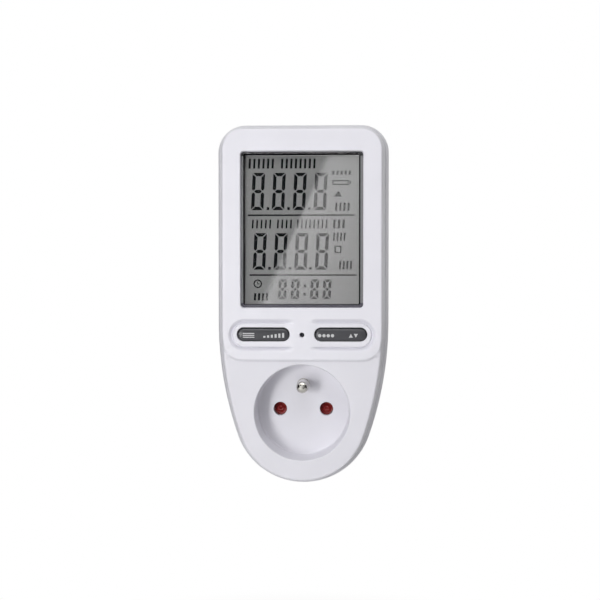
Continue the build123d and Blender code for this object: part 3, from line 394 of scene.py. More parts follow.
def case_path():
    """Case outline as points and outward normals; an inset of d moves each point d against its normal.

    Straight sides end in round top corners. Below, a large arc at each side runs smoothly into the arc
    round the socket.
    """
    arc_z = bottom_arc_radius - case_bottom
    drop = side_arc_start - arc_z
    spread = case_half_width - bottom_arc_radius
    side_radius = (case_half_width**2 - bottom_arc_radius**2 + drop**2) / (2 * spread)
    side_x = case_half_width - side_radius
    side_sweep = np.degrees(np.arctan2(drop, -side_x))
    corner_x = case_half_width - top_corner_radius
    corner_z = case_top - top_corner_radius

    def bend(centre, radius, start, sweep, count):
        """An arc with the angle of its first normal and the turn of the rest."""
        return arc(centre, radius, start, sweep, count), start, sweep

    runs = [
        (line((case_half_width, side_arc_start), (case_half_width, corner_z), wall_points), 0, 0),
        bend((corner_x, corner_z), top_corner_radius, 0, 90, corner_points),
        (line((corner_x, case_top), (-corner_x, case_top), top_points), 90, 0),
        bend((-corner_x, corner_z), top_corner_radius, 90, 90, corner_points),
        (line((-case_half_width, corner_z), (-case_half_width, side_arc_start), wall_points), 180, 0),
        bend((-side_x, side_arc_start), side_radius, 180, side_sweep, side_arc_points),
        bend((0, arc_z), bottom_arc_radius, 180 + side_sweep, 180 - 2 * side_sweep, bottom_arc_points),
        bend((side_x, side_arc_start), side_radius, -side_sweep, side_sweep, side_arc_points),
    ]
    normals = []
    for path, start, turn in runs:
        angle = np.radians(start + turn * np.arange(len(path)) / len(path))
        normals.append(np.column_stack((np.cos(angle), np.sin(angle))))
    return np.concatenate([run[0] for run in runs]), np.concatenate(normals)


def rounded(centre, width, height, radius, inset=0.0, corner=8, side=1):
    """Rounded rectangle drawn in by inset, anticlockwise: four corner arcs joined by straight runs.

    Each arc is cut into corner steps and each straight run into side steps.
    """
    radius = max(radius - inset, 0.02)
    reach_x = width / 2 - inset - radius
    reach_z = height / 2 - inset - radius
    corners = []
    for x_side, z_side, start in ((1, -1, -90), (1, 1, 0), (-1, 1, 90), (-1, -1, 180)):
        middle = (centre[0] + x_side * reach_x, centre[1] + z_side * reach_z)
        corners.append(arc(middle, radius, start, 90, corner, ends=True))
    if side == 1:
        return np.concatenate(corners)
    parts = []
    for part, following in zip(corners, corners[1:] + corners[:1]):
        parts += [part, line(part[-1], following[0], side)[1:]]
    return np.concatenate(parts)


def raised(path, out):
    """A 2-D path (x, z) at one level or at one level per point."""
    path = np.asarray(path, float)
    level = np.broadcast_to(out, (len(path),))
    return np.column_stack((path[:, 0], -level, path[:, 1]))


def nested(steps, *outline, **cuts):
    """Loops of one rounded outline at (inset, out) steps."""
    return [raised(rounded(*outline, inset, **cuts), out) for inset, out in steps]


def flat(out):
    """Height function of a flat face."""
    return lambda x, z: np.full(len(x), out)


def smooth_step(value, width):
    """0 below -width/2, 1 above width/2 and 3t^2 - 2t^3 between."""
    t = np.clip(value / width + 0.5, 0, 1)
    return t * t * (3 - 2 * t)


def inside(spots, loop):
    """Which spots lie inside a closed loop, by counting the edges that a ray to +X crosses."""
    a, b = loop, np.roll(loop, -1, axis=0)
    x, z = spots[:, 0, None], spots[:, 1, None]
    straddles = (a[None, :, 1] > z) != (b[None, :, 1] > z)
    rise = np.where(b[:, 1] == a[:, 1], 1e-12, b[:, 1] - a[:, 1])
    cross_x = a[None, :, 0] + (z - a[None, :, 1]) * (b[:, 0] - a[:, 0])[None, :] / rise[None, :]
    return (straddles & (x < cross_x)).sum(axis=1) % 2 == 1


def flat_box(source):
    """Box of the CAD node named source: its middle (x, z), width, height, back level and front level."""
    low, high = (np.array(corner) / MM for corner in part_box(source))
    middle = ((low[0] + high[0]) / 2, (low[2] + high[2]) / 2)
    return middle, high[0] - low[0], high[2] - low[2], -high[1], -low[1]


def placed(name, data):
    """New object of a mesh, lamp or camera, linked to the scene at the origin."""
    made = bpy.data.objects.new(name, data)
    bpy.context.scene.collection.objects.link(made)
    return made


def hide(made, rays):
    """Keeps an object from the given kinds of rays."""
    for ray in rays:
        setattr(made, "visible_" + ray, False)


class Shell:
    """Rings of quads and filled faces of one piece, in millimetres, welded when the piece is made."""

    def __init__(self):
        self.points = []
        self.faces = []
        self.size = 0

    def ribbon(self, loops):
        """Quads between neighbouring closed loops of 3-D points; returns the end loops as (x, z) paths."""
        loops = np.asarray(loops)
        rows, columns = loops.shape[:2]
        index = self.size + np.arange(rows * columns).reshape(rows, columns)
        along = np.roll(index, -1, axis=1)
        quads = np.stack((index[:-1], along[:-1], along[1:], index[1:]), axis=-1).reshape(-1, 4)
        self.points.append(loops.reshape(-1, 3))
        self.faces += quads.tolist()
        self.size += rows * columns
        return loops[0][:, [0, 2]], loops[-1][:, [0, 2]]

    def turned(self, profile, centre, count):
        """Surface turned about Y through centre from (radius, out) steps; returns what ribbon does."""
        profile = np.asarray(profile, float)
        ring = circle((0, 0), 1, count)
        loops = np.empty((len(profile), count, 3))
        loops[..., 0] = centre[0] + profile[:, 0, None] * ring[None, :, 0]
        loops[..., 1] = -profile[:, 1, None]
        loops[..., 2] = centre[1] + profile[:, 0, None] * ring[None, :, 1]
        return self.ribbon(loops)

    def fill(self, rim, holes, height, lines=(), spots=None):
        """Triangles inside rim and outside holes, at out = height(x, z), with edges kept along lines."""
        loops = [rim, *holes]
        edges = []
        first = 0
        for number, path in enumerate([*loops, *lines]):
            places = first + np.arange(len(path))
            pairs = np.column_stack((places, np.roll(places, -1))).tolist()
            edges += pairs if number < len(loops) else pairs[:-1]
            first += len(path)
        flat_points = np.concatenate([*loops, *lines] + ([] if spots is None else [spots]))
        vectors = [Vector(point) for point in flat_points.tolist()]
        found, _, triangles, *_ = delaunay_2d_cdt(vectors, edges, [], 0, 1e-5)
        plane = np.array([tuple(point) for point in found])
        triangles = np.array(triangles)
        middle = plane[triangles].mean(axis=1)
        keep = inside(middle, rim)
        for hole in holes:
            keep &= ~inside(middle, hole)
        self.points.append(raised(plane, height(plane[:, 0], plane[:, 1])))
        self.faces += (self.size + triangles[keep]).tolist()
        self.size += len(plane)

    def block(self, loops):
        """Closed block from the loops of its side, with both ends filled flat."""
        for rim, loop in zip(self.ribbon(loops), (loops[0], loops[-1])):
            self.fill(rim, [], flat(-loop[0, 1]))

    def plate(self, outline, back_out, front_out):
        """Closed plate with a convex outline: quads round its side and one face at each end."""
        around = self.size + np.arange(len(outline))
        self.ribbon([raised(outline, back_out), raised(outline, front_out)])
        self.faces += [around[::-1].tolist(), (around + len(outline)).tolist()]

    def make(self, name, body, material, stands_for=(), sharp=32, weld=0.002):
        """Welds the collected faces into one mesh, turns them outwards and makes the piece."""
        mesh = bpy.data.meshes.new(name)
        mesh.from_pydata((np.concatenate(self.points) * MM).tolist(), [], self.faces)
        work = bmesh.new()
        work.from_mesh(mesh)
        bmesh.ops.remove_doubles(work, verts=work.verts, dist=weld * MM)
        bmesh.ops.dissolve_degenerate(work, edges=work.edges, dist=weld * MM / 4)
        loose = [vertex for vertex in work.verts if not vertex.link_faces]
        bmesh.ops.delete(work, geom=loose, context="VERTS")
        bmesh.ops.recalc_face_normals(work, faces=work.faces)
        work.to_mesh(mesh)
        work.free()
        mesh.polygons.foreach_set("use_smooth", np.ones(len(mesh.polygons), bool))
        mesh.set_sharp_from_angle(angle=np.radians(sharp))
        mesh.materials.append(material)
        piece = placed(name, mesh)
        shade = piece.modifiers.new("flat_faces", "WEIGHTED_NORMAL")
        shade.keep_sharp = True
        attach(piece, body)
        if stands_for:
            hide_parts(*stands_for)
        return piece


def srgb(red, green, blue):
    """Colour of 0 to 255 display levels as linear values with an alpha of 1."""
    level = np.array([red, green, blue]) / 255
    linear = np.where(level <= 0.04045, level / 12.92, ((level + 0.055) / 1.055) ** 2.4)
    return (*linear.tolist(), 1.0)


def shade_of(colour, factor):
    """Colour with its three levels times factor, none of them over 1."""
    return (*np.minimum(np.array(colour[:3]) * factor, 1).tolist(), 1.0)


def with_values(changed, values):
    """A node with values set on its inputs; _ stands for a space in an input's name."""
    for socket, value in values.items():
        changed.inputs[socket.replace("_", " ")].default_value = value
    return changed


def node(made, kind, **inputs):
    """New node of a material or world, with values of its inputs."""
    return with_values(made.node_tree.nodes.new(kind), inputs)


def math_node(made, kind, operation):
    """New Math or Vector Math node."""
    added = node(made, kind)
    added.operation = operation
    return added


def map_node(made, low, high, start=0.0, end=1.0, curve="LINEAR"):
    """New Map Range node that turns low to high into start to end."""
    added = node(made, "ShaderNodeMapRange", From_Min=low, From_Max=high, To_Min=start, To_Max=end)
    added.interpolation_type = curve
    return added


def join(made, *links):
    """Links outputs to inputs, each as (node, output, node, input)."""
    for source, output, target, entry in links:
        made.node_tree.links.new(source.outputs[output], target.inputs[entry])


def surface(name, roughness, metallic=0.0, **sockets):
    """New Principled material with uniform values set on its own sockets."""
    made = bpy.data.materials.new(name)
    made.use_nodes = True
    values = {"Roughness": roughness, "Metallic": metallic, **sockets}
    return made, with_values(made.node_tree.nodes["Principled BSDF"], values)


def colour_ramp(made, stops, kind="LINEAR"):
    """New Color Ramp node through (position, colour) stops."""
    ramp = node(made, "ShaderNodeValToRGB")
    ramp.color_ramp.interpolation = kind
    elements = ramp.color_ramp.elements
    for index, (position, colour) in enumerate(stops):
        stop = elements[index] if index < len(elements) else elements.new(position)
        stop.position = position
        stop.color = colour
    return ramp


def textured(name, roughness, tones, tone_scale, grain_scale, grain, strength, **sockets):
    """Material whose colour drifts between two close tones with a soft noise, over a fine bump.

    Both noises lie on Object coordinates, and grain is the height of the bump in metres.
    """
    made, shader = surface(name, roughness, **sockets)
    place = node(made, "ShaderNodeTexCoord")
    drift = node(made, "ShaderNodeTexNoise", Scale=tone_scale, Detail=4.0)
    ramp = colour_ramp(made, zip((0.35, 0.65), tones))
    fine = node(made, "ShaderNodeTexNoise", Scale=grain_scale, Detail=2.0)
    bump = node(made, "ShaderNodeBump", Strength=strength, Distance=grain)
    join(
        made,
        (place, "Object", drift, "Vector"),
        (drift, "Fac", ramp, "Fac"),
        (ramp, "Color", shader, "Base Color"),
        (place, "Object", fine, "Vector"),
        (fine, "Fac", bump, "Height"),
        (bump, "Normal", shader, "Normal"),
    )
    return made


def moulded(name, colour, roughness, grain=0.00002, spread=0.012, **sockets):
    """Moulded plastic: close tones of one colour over the fine grain of a spark-eroded mould."""
    tones = (shade_of(colour, 1 - spread), shade_of(colour, 1 + spread))
    scales = {"tone_scale": 60.0, "grain_scale": 3500.0}
    return textured(name, roughness, tones, grain=grain, strength=0.4, **scales, **sockets)


def metal(name, colour, roughness):
    """Turned or plated metal with faint streaks in its tone."""
    tones = (shade_of(colour, 0.92), colour)
    scales = {"tone_scale": 900.0, "grain_scale": 5000.0}
    return textured(name, roughness, tones, grain=0.000004, strength=0.2, **scales, metallic=1.0)


def film(name, colour):
    """Matt film that throws back no light of its own gloss."""
    return moulded(name, colour, 0.6, grain=0.000005, Specular_IOR_Level=0.0)


def clear(name, roughness, index):
    """Clear plastic or glass."""
    return surface(name, roughness, Transmission_Weight=1.0, IOR=index, Base_Color=(1, 1, 1, 1))[0]


def follow(made, axis, low, high, start=0.0, end=1.0):
    """Node whose Result goes from start to end as an axis of Object coordinates goes from low to high."""
    place = node(made, "ShaderNodeTexCoord")
    split = node(made, "ShaderNodeSeparateXYZ")
    run = map_node(made, low, high, start, end)
    join(made, (place, "Object", split, "Vector"), (split, axis, run, "Value"))
    return run


def banded(name, roughness, low, high, tones):
    """Print and painted shade in steps of tone up the piece, each (share of low to high, colour)."""
    made, shader = surface(name, roughness, Specular_IOR_Level=0.0)
    ramp = colour_ramp(made, tones, "CONSTANT")
    rise = follow(made, "Z", low, high)
    join(made, (rise, "Result", ramp, "Fac"), (ramp, "Color", shader, "Base Color"))
    return made


def painted_light_by_height(made, low_out, high_out, gain):
    """Painted light: multiplies a material's colour by 1 to gain as the surface rises from low_out to
    high_out, so raised faces are painted lighter and sunken ones darker.
    """
    shader = made.node_tree.nodes["Principled BSDF"]
    tone = shader.inputs["Base Color"].links[0].from_node
    scale = math_node(made, "ShaderNodeVectorMath", "SCALE")
    rise = follow(made, "Y", -low_out * MM, -high_out * MM, 1.0, gain)
    join(
        made,
        (tone, "Color", scale, 0),
        (rise, "Result", scale, "Scale"),
        (scale, "Vector", shader, "Base Color"),
    )


case_plastic = moulded("case_plastic", srgb(231, 230, 237), 0.42)
# Painted light: the cup's plastic is the case's white painted a level lighter, so that the shaded walls of
# the bowl come out lighter
lit_cup_plastic = moulded("lit_cup_plastic", srgb(232, 231, 237), 0.42)
key_plastic = moulded("key_plastic", srgb(72, 72, 76), 0.24, spread=0.04)
shutter_plastic = moulded("shutter_plastic", srgb(132, 26, 24), 0.35)
black_print = moulded("black_print", srgb(14, 14, 16), 0.45, Specular_IOR_Level=0.0)
nickel_plate = metal("nickel_plate", srgb(222, 219, 212), 0.1)
screw_steel = metal("screw_steel", srgb(170, 170, 172), 0.3)
clear_window = clear("clear_window", 0.0, 1.46)
display_glass = clear("display_glass", 0.03, 1.5)
cell_film = film("cell_film", srgb(111, 111, 111))
stroke_film = film("stroke_film", srgb(20, 20, 22))
white_print = moulded("white_print", srgb(200, 200, 202), 0.5, grain=0.000005)

# Painted light and shade: the raised panel is painted a shade lighter than the face round the socket, and
# the sunken groove of the key recess is left at the darker shade
painted_light_by_height(case_plastic, low_out=panel_out - 0.9, high_out=panel_out - 0.3, gain=1.07)

# Printed border behind the window: slate at the foot and lighter up the sides, with painted shade darkening
# it at the head
border_low, border_high = 0.042, 0.1043
border_print_and_shade_tones = [(0.0, srgb(92, 90, 99)), (0.03, srgb(132, 132, 134)), (0.972, srgb(62, 62, 64))]
band_print_and_shade = banded("band_print_and_shade", 0.5, border_low, border_high, border_print_and_shade_tones)

# Finish of every node that stays as it is, by its slot in the record
slot_finish = {
    "case": case_plastic,
    "clear_window": clear_window,
    "black_print": black_print,
    "display_glass": display_glass,
    "reflector": moulded("reflector_film", srgb(150, 152, 150), 0.5),
    "inner_plastic": moulded("inner_plastic", srgb(222, 222, 224), 0.5),
    "silicone": moulded("silicone_rubber", srgb(200, 200, 198), 0.6),
    "board": moulded("board_laminate", srgb(38, 92, 56), 0.35, spread=0.12),
    "screw_steel": screw_steel,
    "chip_black": moulded("chip_black", srgb(30, 30, 32), 0.5),
    "nickel": nickel_plate,
    "key_grey": key_plastic,
    "carbon": moulded("carbon_pill", srgb(28, 28, 28), 0.7),
    # Painted light: the reset button is painted a light grey so that it shows brighter at the foot of its
    # dark pinhole
    "button_dark": moulded("lit_button_grey", srgb(132, 130, 142), 0.5),
    "battery_sleeve": moulded("battery_sleeve", srgb(70, 120, 90), 0.35),
    "capacitor_yellow": moulded("capacitor_yellow", srgb(214, 180, 60), 0.4),
    "capacitor_black": moulded("capacitor_black", srgb(28, 28, 34), 0.3),
    "suppressor_blue": moulded("suppressor_blue", srgb(40, 80, 160), 0.35),
    "copper": metal("copper_bar", srgb(208, 130, 94), 0.3),
    "brass": metal("brass_strip", srgb(214, 184, 112), 0.28),
    "spring_steel": screw_steel,
    "shutter_red": shutter_plastic,
}


def finish_nodes():
    """Gives each node of the frame its slot's finish, and the rear glass the film behind the strokes."""
    for part in frame["record"]["subparts"]:
        piece = frame["nodes"][part["node"]]
        finish = cell_film if part["node"] == "lcd_rear_glass" else slot_finish[part["material_slot"]]
        piece.data.materials.clear()
        piece.data.materials.append(finish)


def panel_distance(x, z):
    """Distance inside the raised panel's lower edge: a straight run with a round corner at each side."""
    side = np.abs(x)
    corner_x = panel_half_width - panel_corner_radius
    corner_z = panel_edge_z + panel_corner_radius
    round_part = panel_corner_radius - np.hypot(side - corner_x, z - corner_z)
    low = np.where(side <= corner_x, z - panel_edge_z, round_part)
    return np.where(z < corner_z, low, np.maximum(panel_half_width - side, panel_edge_blend))


def recess_distance(x, z):
    """Distance inside the key recess, a stadium round the middle line of the keys."""
    reach = recess_half_length - recess_height / 2
    off = np.maximum(np.abs(x) - reach, 0)
    return recess_height / 2 - np.hypot(off, z - recess_z)


def face_height(x, z):
    """Level of the front face: the panel's step, less the recess round the keys.

    The recess falls by recess_depth over its edge and its floor rises again by recess_rise inside it.
    Both fade to nothing at the saddle between the keys.
    """
    step = panel_step * smooth_step(panel_distance(x, z), panel_edge_blend)
    saddle = smooth_step(np.abs(x) - saddle_half_width - saddle_ramp / 2, saddle_ramp)
    depth = recess_distance(x, z)
    fall = recess_depth * smooth_step(depth + recess_edge_shift, recess_edge_blend)
    rise = recess_rise * smooth_step(depth - recess_rise_at, recess_rise_blend)
    return socket_face_out + step - saddle * (fall - rise)


def face_back(x, z):
    """Level of the face's inner side, which steps up into a pocket behind the panel."""
    return socket_back_out + panel_step * smooth_step(z - pocket_edge_z, panel_edge_blend)


def wall_profile(edge_inset, face_out):
    """(inset, out) steps of the case wall: down inside, round the lip, up outside and over the edge."""
    inner = parting_inset + side_wall
    lip = parting_inset + side_wall / 2
    seam = parting_inset + parting_ledge
    wall = stepped(
        (edge_inset + side_wall, face_out - front_wall),
        (inner, parting_out, parting_out - lip_height),
        (lip, parting_out - lip_height, parting_out),
        (seam + seam_chamfer, parting_out),
        (seam, parting_out + seam_chamfer),
    )
    edge = edge_round(edge_inset - face_edge_lead, face_out, face_edge_radius, face_edge_radius, 12)
    return np.concatenate((wall, line(wall[-1], edge[0], 4)[1:], edge))


def case_wall(outline, normals):
    """Loops of the wall: a profile carried round the outline.

    One profile reaches the socket's face and one the panel. They are mixed by a smooth step of the
    distance inside the panel's edge, and the first and last loop lie on the two sides of the face.
    """
    draft = (face_inset - parting_inset) / (panel_out - parting_out)
    low = wall_profile(face_inset - draft * panel_step, socket_face_out)
    high = wall_profile(face_inset, panel_out)
    middle = (low[:, 0, None] + high[:, 0, None]) / 2
    x = outline[:, 0] - middle * normals[:, 0]
    z = outline[:, 1] - middle * normals[:, 1]
    share = smooth_step(panel_distance(x, z), panel_edge_blend)
    share[0] = smooth_step(z[0] - pocket_edge_z, panel_edge_blend)
    inset = low[:, 0, None] * (1 - share) + high[:, 0, None] * share
    out = low[:, 1, None] * (1 - share) + high[:, 1, None] * share
    x = outline[:, 0] - inset * normals[:, 0]
    z = outline[:, 1] - inset * normals[:, 1]
    out[0] = face_back(x[0], z[0])
    out[-1] = face_height(x[-1], z[-1])
    return np.stack((x, -out, z), axis=-1)


def window_frame(shell):
    """Frame behind the face, ledge under the lens, wall and a small round edge."""
    steps = stepped(
        (-window_frame_wall, panel_back_out, ledge_back_out),
        (ledge_width, ledge_back_out, ledge_front_out),
        (0, ledge_front_out),
    )
    steps.extend(edge_round(0, panel_out, -window_edge_radius, window_edge_radius, 6))
    return shell.ribbon(nested(steps, (0, window_z), window_width, window_height, window_radius))


def key_opening(shell, side):
    """Opening round one key, whose round edge follows the floor of the recess."""
    centre = (side * key_x, key_z + key_sag)
    height = key_height + 2 * key_gap
    outline = (centre, key_length + 2 * key_gap, height, height / 2)
    path = rounded(*outline, corner=14, side=24)
    loops = [raised(path, face_back(path[:, 0], path[:, 1]))]
    for inset, drop in edge_round(0, 0, -key_opening_edge, -key_opening_edge, 6):
        path = rounded(*outline, inset, corner=14, side=24)
        loops.append(raised(path, face_height(path[:, 0], path[:, 1]) - drop))
    return shell.ribbon(loops)


def reset_opening(shell):
    """Pinhole of the reset button and the guide behind it."""
    steps = stepped(
        (reset_guide_radius, panel_back_out, reset_guide_out),
        (reset_hole_radius, reset_guide_out, panel_out - reset_hole_edge),
        (reset_hole_radius + reset_hole_edge / 3, panel_out - reset_hole_edge / 3),
        (reset_hole_radius + reset_hole_edge, panel_out),
    )
    return shell.turned(steps, (0, key_z), 32)


def socket_ring(shell):
    """Ring that takes the socket's cup, and the bowl's round rim."""
    seat_radius = cup_outer_radius + cup_clearance
    steps = stepped(
        (ring_outer_radius, socket_back_out, ring_back_out),
        (seat_radius, ring_back_out, cup_front_out),
        (bowl_radius, cup_front_out),
    )
    steps.extend(edge_round(bowl_radius, socket_face_out, bowl_rim_radius, bowl_rim_radius, 8))
    return shell.turned(steps, (0, 0), 160)


def face_lines(outline, normals):
    """Lines that the face's triangles keep to: along the panel's step, and round the edge of the recess."""
    lines = []
    field = outline - step_line_inset * normals
    corner_x = panel_half_width - panel_corner_radius
    corner_z = panel_edge_z + panel_corner_radius
    for offset in np.linspace(-0.5, 0.5, 9) * panel_edge_blend:
        straight = line((0, panel_edge_z + offset), (corner_x, panel_edge_z + offset), 12)
        right = arc((corner_x, corner_z), panel_corner_radius - offset, -90, 48, 40)
        half = np.concatenate((straight, right))
        path = np.concatenate((half[:0:-1] * (-1, 1), half))
        lines.append(path[inside(path, field)])
    first = -recess_edge_shift - recess_edge_blend / 2
    last = recess_rise_at + recess_rise_blend / 2
    stadium = ((0, recess_z), 2 * recess_half_length, recess_height, recess_height / 2)
    for inset in np.linspace(first, last, 15):
        path = rounded(*stadium, inset, corner=24, side=60)
        lines.append(np.concatenate((path, path[:1])))
    return lines


def recess_grid(openings):
    """Even grid of points on the floor of the recess, clear of its edge and of the openings."""
    across = np.arange(-grid_reach, grid_reach + grid_step / 2, grid_step)
    grid_x, grid_z = np.meshgrid(across, np.arange(grid_low, grid_high, grid_step))
    spots = np.column_stack((grid_x.ravel(), grid_z.ravel()))
    clear_of_edge = recess_rise_at + recess_rise_blend / 2 + grid_margin
    keep = recess_distance(spots[:, 0], spots[:, 1]) > clear_of_edge
    for opening in openings:
        keep &= ~inside(spots, opening)
    return spots[keep]


def front_cover():
    """Front moulding: the case wall, the two sides of the face with their openings, bosses and key lugs."""
    shell = Shell()
    outline, normals = case_path()
    back_rim, face_rim = shell.ribbon(case_wall(outline, normals))
    openings = [window_frame(shell), key_opening(shell, -1), key_opening(shell, 1)]
    openings += [reset_opening(shell), socket_ring(shell)]
    back_holes, face_holes = zip(*openings)
    shell.fill(face_rim, face_holes, face_height, face_lines(outline, normals), recess_grid(face_holes))
    pocket_lines = []
    for offset in np.linspace(-0.5, 0.5, 5) * panel_edge_blend:
        z = pocket_edge_z + offset
        pocket_lines.append(np.array([(-pocket_line_reach, z), (pocket_line_reach, z)]))
    shell.fill(back_rim, back_holes, face_back, pocket_lines)
    for place in case_bosses:
        hole_end = socket_back_out - case_hole_cover
        boss(shell, place, case_boss_radius, case_screw_radius, case_boss_out, hole_end)
    for place in board_posts:
        boss(shell, place, board_post_radius, board_screw_radius, board_out, board_out + board_screw_length)
    for side in (-1, 1):
        for end in (-1, 1):
            key_lug(shell, side * key_x, end)
    shell.make("front_cover_shell", "case", case_plastic, ["front_cover"])


def boss(shell, place, radius, hole_radius, back, hole_end):
    """Screw boss with a blind hole, rooted in the front wall."""
    root = panel_back_out + boss_root
    steps = stepped((0, root), (radius, root, back), (hole_radius, back, hole_end), (0, hole_end))
    shell.turned(steps, place, 40)


def key_lug(shell, x, end):
    """Lug of a key's pivot: an even hole in a plate that is round below and square at its root.

    The plate's reach is key_lug_radius below the pivot, and above it the nearer of its side and its root.
    """
    across, along = circle((0, 0), 1, 48).T
    root = panel_back_out + key_lug_root - key_pivot_out
    to_side = key_lug_radius / np.maximum(np.abs(across), 1e-6)
    to_root = root / np.maximum(np.abs(along), 1e-6)
    outer = np.where(along > 0, np.minimum(to_side, to_root), key_lug_radius)
    near, far = key_z + end * key_lug_start, key_z + end * key_lug_end
    hole = key_lug_hole_radius
    loops = []
    for radius, z in ((outer, near), (outer, far), (hole, far), (hole, near), (outer, near)):
        level = -key_pivot_out - radius * along
        loops.append(np.column_stack((x + radius * across, level, np.full(len(across), z))))
    shell.ribbon(loops)


def shutter_height(x, z):
    """Front of the shutter: two ramps, and behind each hole a ring groove round a dimple.

    Groove and dimple are bell curves of the distance from the hole's middle: depth * exp(-(off / width)^2).
    """
    off = np.abs(x) - live_x
    ramp = np.clip((z - shutter_top) / shutter_ramp_height + 1, 0, 1)
    within = np.clip((shutter_ramp_half_width - np.abs(off)) / shutter_ramp_edge, 0, 1)
    radius = np.hypot(off, z)
    groove = groove_depth * np.exp(-(((radius - groove_radius) / groove_width) ** 2))
    dimple = dimple_depth * np.exp(-((radius / dimple_radius) ** 2))
    return shutter_front_out - shutter_ramp_depth * ramp * within - (groove + dimple)


def shutter():
    """Sliding shutter: its outline carried from back to front, and its front as a height over that."""
    shell = Shell()
    half, edge = shutter_ramp_half_width, shutter_ramp_edge
    ramp_edges = [live_x - half, live_x - half + edge, live_x + half - edge, live_x + half]
    right = [(0, shutter_bottom), (shutter_half_width - shutter_corner, shutter_bottom)]
    right += [(shutter_half_width, shutter_bottom + shutter_corner), (shutter_half_width, shutter_top)]
    right = np.array(right + [(x, shutter_top) for x in reversed(ramp_edges)])
    rim = np.concatenate((right, right[:0:-1] * (-1, 1)))
    shell.ribbon([raised(rim, shutter_back_out), raised(rim, shutter_height(rim[:, 0], rim[:, 1]))])
    shell.fill(rim, [], flat(shutter_back_out))
    lines = []
    for side in (-1, 1):
        for x in ramp_edges:
            foot = shutter_top - shutter_ramp_height
            lines.append(np.array([(side * x, shutter_top - shutter_rim_gap), (side * x, foot)]))
    radii = np.arange(mark_step, mark_reach, mark_step)
    marks = (circle((0, 0), 1, 48)[:, None] * radii[:, None]).reshape(-1, 2)
    spots = np.concatenate((marks - (live_x, 0), marks + (live_x, 0)))
    spots = spots[inside(spots, rim * shutter_rim_share)]
    shell.fill(rim, [], shutter_height, lines, spots)
    shell.make("shutter_slider", "shutter", shutter_plastic, ["shutter"], sharp=40)


def shutter_spring():
    """Coil spring: a round wire carried up a helix, whose end turns lie close together.

    At turn t the wire's middle is at radius * (cos 2 pi t, sin 2 pi t) and at a height that rises evenly
    between the end turns.
    """
    low, high = (np.array(corner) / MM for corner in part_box("shutter_spring"))
    middle = (low + high) / 2
    radius = (high[0] - low[0]) / 2 - spring_wire_radius
    length = high[2] - low[2]
    height = length - 2 * spring_wire_radius
    closed = spring_end_turns * spring_closed_pitch
    turns = np.linspace(0, spring_turns, spring_steps_per_turn * spring_turns + 1)
    open_end = spring_turns - spring_end_turns
    heights = (0, closed, height - closed, height)
    rise = np.interp(turns, (0, spring_end_turns, open_end, spring_turns), heights)
    outward = np.column_stack((np.cos(2 * np.pi * turns), np.sin(2 * np.pi * turns), np.zeros(len(turns))))
    path = middle * (1, 1, 0) + radius * outward
    path[:, 2] += low[2] + spring_wire_radius + rise
    along = np.gradient(path, axis=0)
    along /= np.linalg.norm(along, axis=1)[:, None]
    side = np.cross(along, outward)
    section = circle((0, 0), spring_wire_radius, 12)
    loops = path[:, None] + section[None, :, :1] * outward[:, None] + section[None, :, 1:] * side[:, None]
    tips = [np.broadcast_to(end, (1, *loops.shape[1:])) for end in (path[0], path[-1])]
    shell = Shell()
    shell.ribbon(np.concatenate((tips[0], loops, tips[1])))
    stands_for = ["shutter_spring"]
    piece = shell.make("shutter_spring_coil", "case", screw_steel, stands_for, sharp=40)
    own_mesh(piece)


def socket_cup():
    """Socket's cup: wall, floor and outside turned about its middle, and the holes through its floor."""
    shell = Shell()
    floor_radius = bowl_radius - bowl_taper
    inner = [(cup_outer_radius, cup_front_out), (bowl_radius, cup_front_out)]
    inner.extend(edge_round(floor_radius, bowl_floor_out, -bowl_corner_radius, -bowl_corner_radius, 9))
    outer = stepped(
        (cup_outer_radius - cup_chamfer, bowl_back_out),
        (cup_outer_radius, bowl_back_out + cup_chamfer, cup_front_out),
    )
    floor_rim = shell.turned(inner, (0, 0), 160)[-1]
    back_rim = shell.turned(outer, (0, 0), 160)[0]
    holes = []
    for side in (-1, 1):
        steps = stepped(
            (live_hole_radius, bowl_back_out, bowl_floor_out - live_hole_chamfer),
            (live_hole_radius + live_hole_chamfer, bowl_floor_out),
        )
        holes.append(shell.turned(steps, (side * live_x, 0), 48))
    steps = stepped((earth_hole_radius, bowl_back_out, bowl_floor_out))
    holes.append(shell.turned(steps, (0, earth_z), 48))
    back_holes, floor_holes = zip(*holes)
    shell.fill(floor_rim, floor_holes, flat(bowl_floor_out))
    shell.fill(back_rim, back_holes, flat(bowl_back_out))
    shell.make("socket_cup_shell", "case", lit_cup_plastic, ["socket_cup"])


def turned_pin(name, source, centre, shank, end_out, tip_radius, direction, count):
    """Nickel-plated pin turned to the shank's (radius, out) steps, whose end is a quarter circle."""
    tip = edge_round(pin_radius, end_out, -tip_radius, direction * tip_radius, count)
    shell = Shell()
    shell.turned([*shank, *tip, (0.0, end_out)], centre, 64)
    shell.make(name, "case", nickel_plate, [source])


def earth_pin():
    """Turned earth pin: root, neck in the cup's floor, shoulder with a chamfer, and round tip."""
    shoulder_out = bowl_floor_out + earth_shoulder_height
    shank = stepped(
        (0.0, earth_root_out),
        (earth_root_radius, earth_root_out, earth_neck_out),
        (earth_neck_radius, earth_neck_out, bowl_floor_out),
        (earth_shoulder_radius, bowl_floor_out, shoulder_out - earth_shoulder_chamfer),
        (earth_shoulder_radius - earth_shoulder_chamfer, shoulder_out),
        (pin_radius, shoulder_out),
    )
    place = (0, earth_z)
    end = (earth_pin_out, earth_tip_radius, 1, 10)
    turned_pin("earth_pin_turned", "socket_earth_pin", place, shank, *end)


def live_pins():
    """The plug's two turned pins, each with its collar in the pin carrier and a nearly round tip."""
    for side, name, root_out in pin_roots:
        shank = stepped(
            (0.0, root_out),
            (pin_root_radius, root_out, pin_collar_out),
            (pin_collar_radius, pin_collar_out, pin_collar_back_out),
            (pin_neck_radius, pin_collar_back_out, 0.0),
            (pin_radius, 0.0),
        )
        end = (-plug_pin_length, pin_tip_radius, -1, 14)
        turned_pin(name + "_turned", name, (side * live_x, 0), shank, *end)


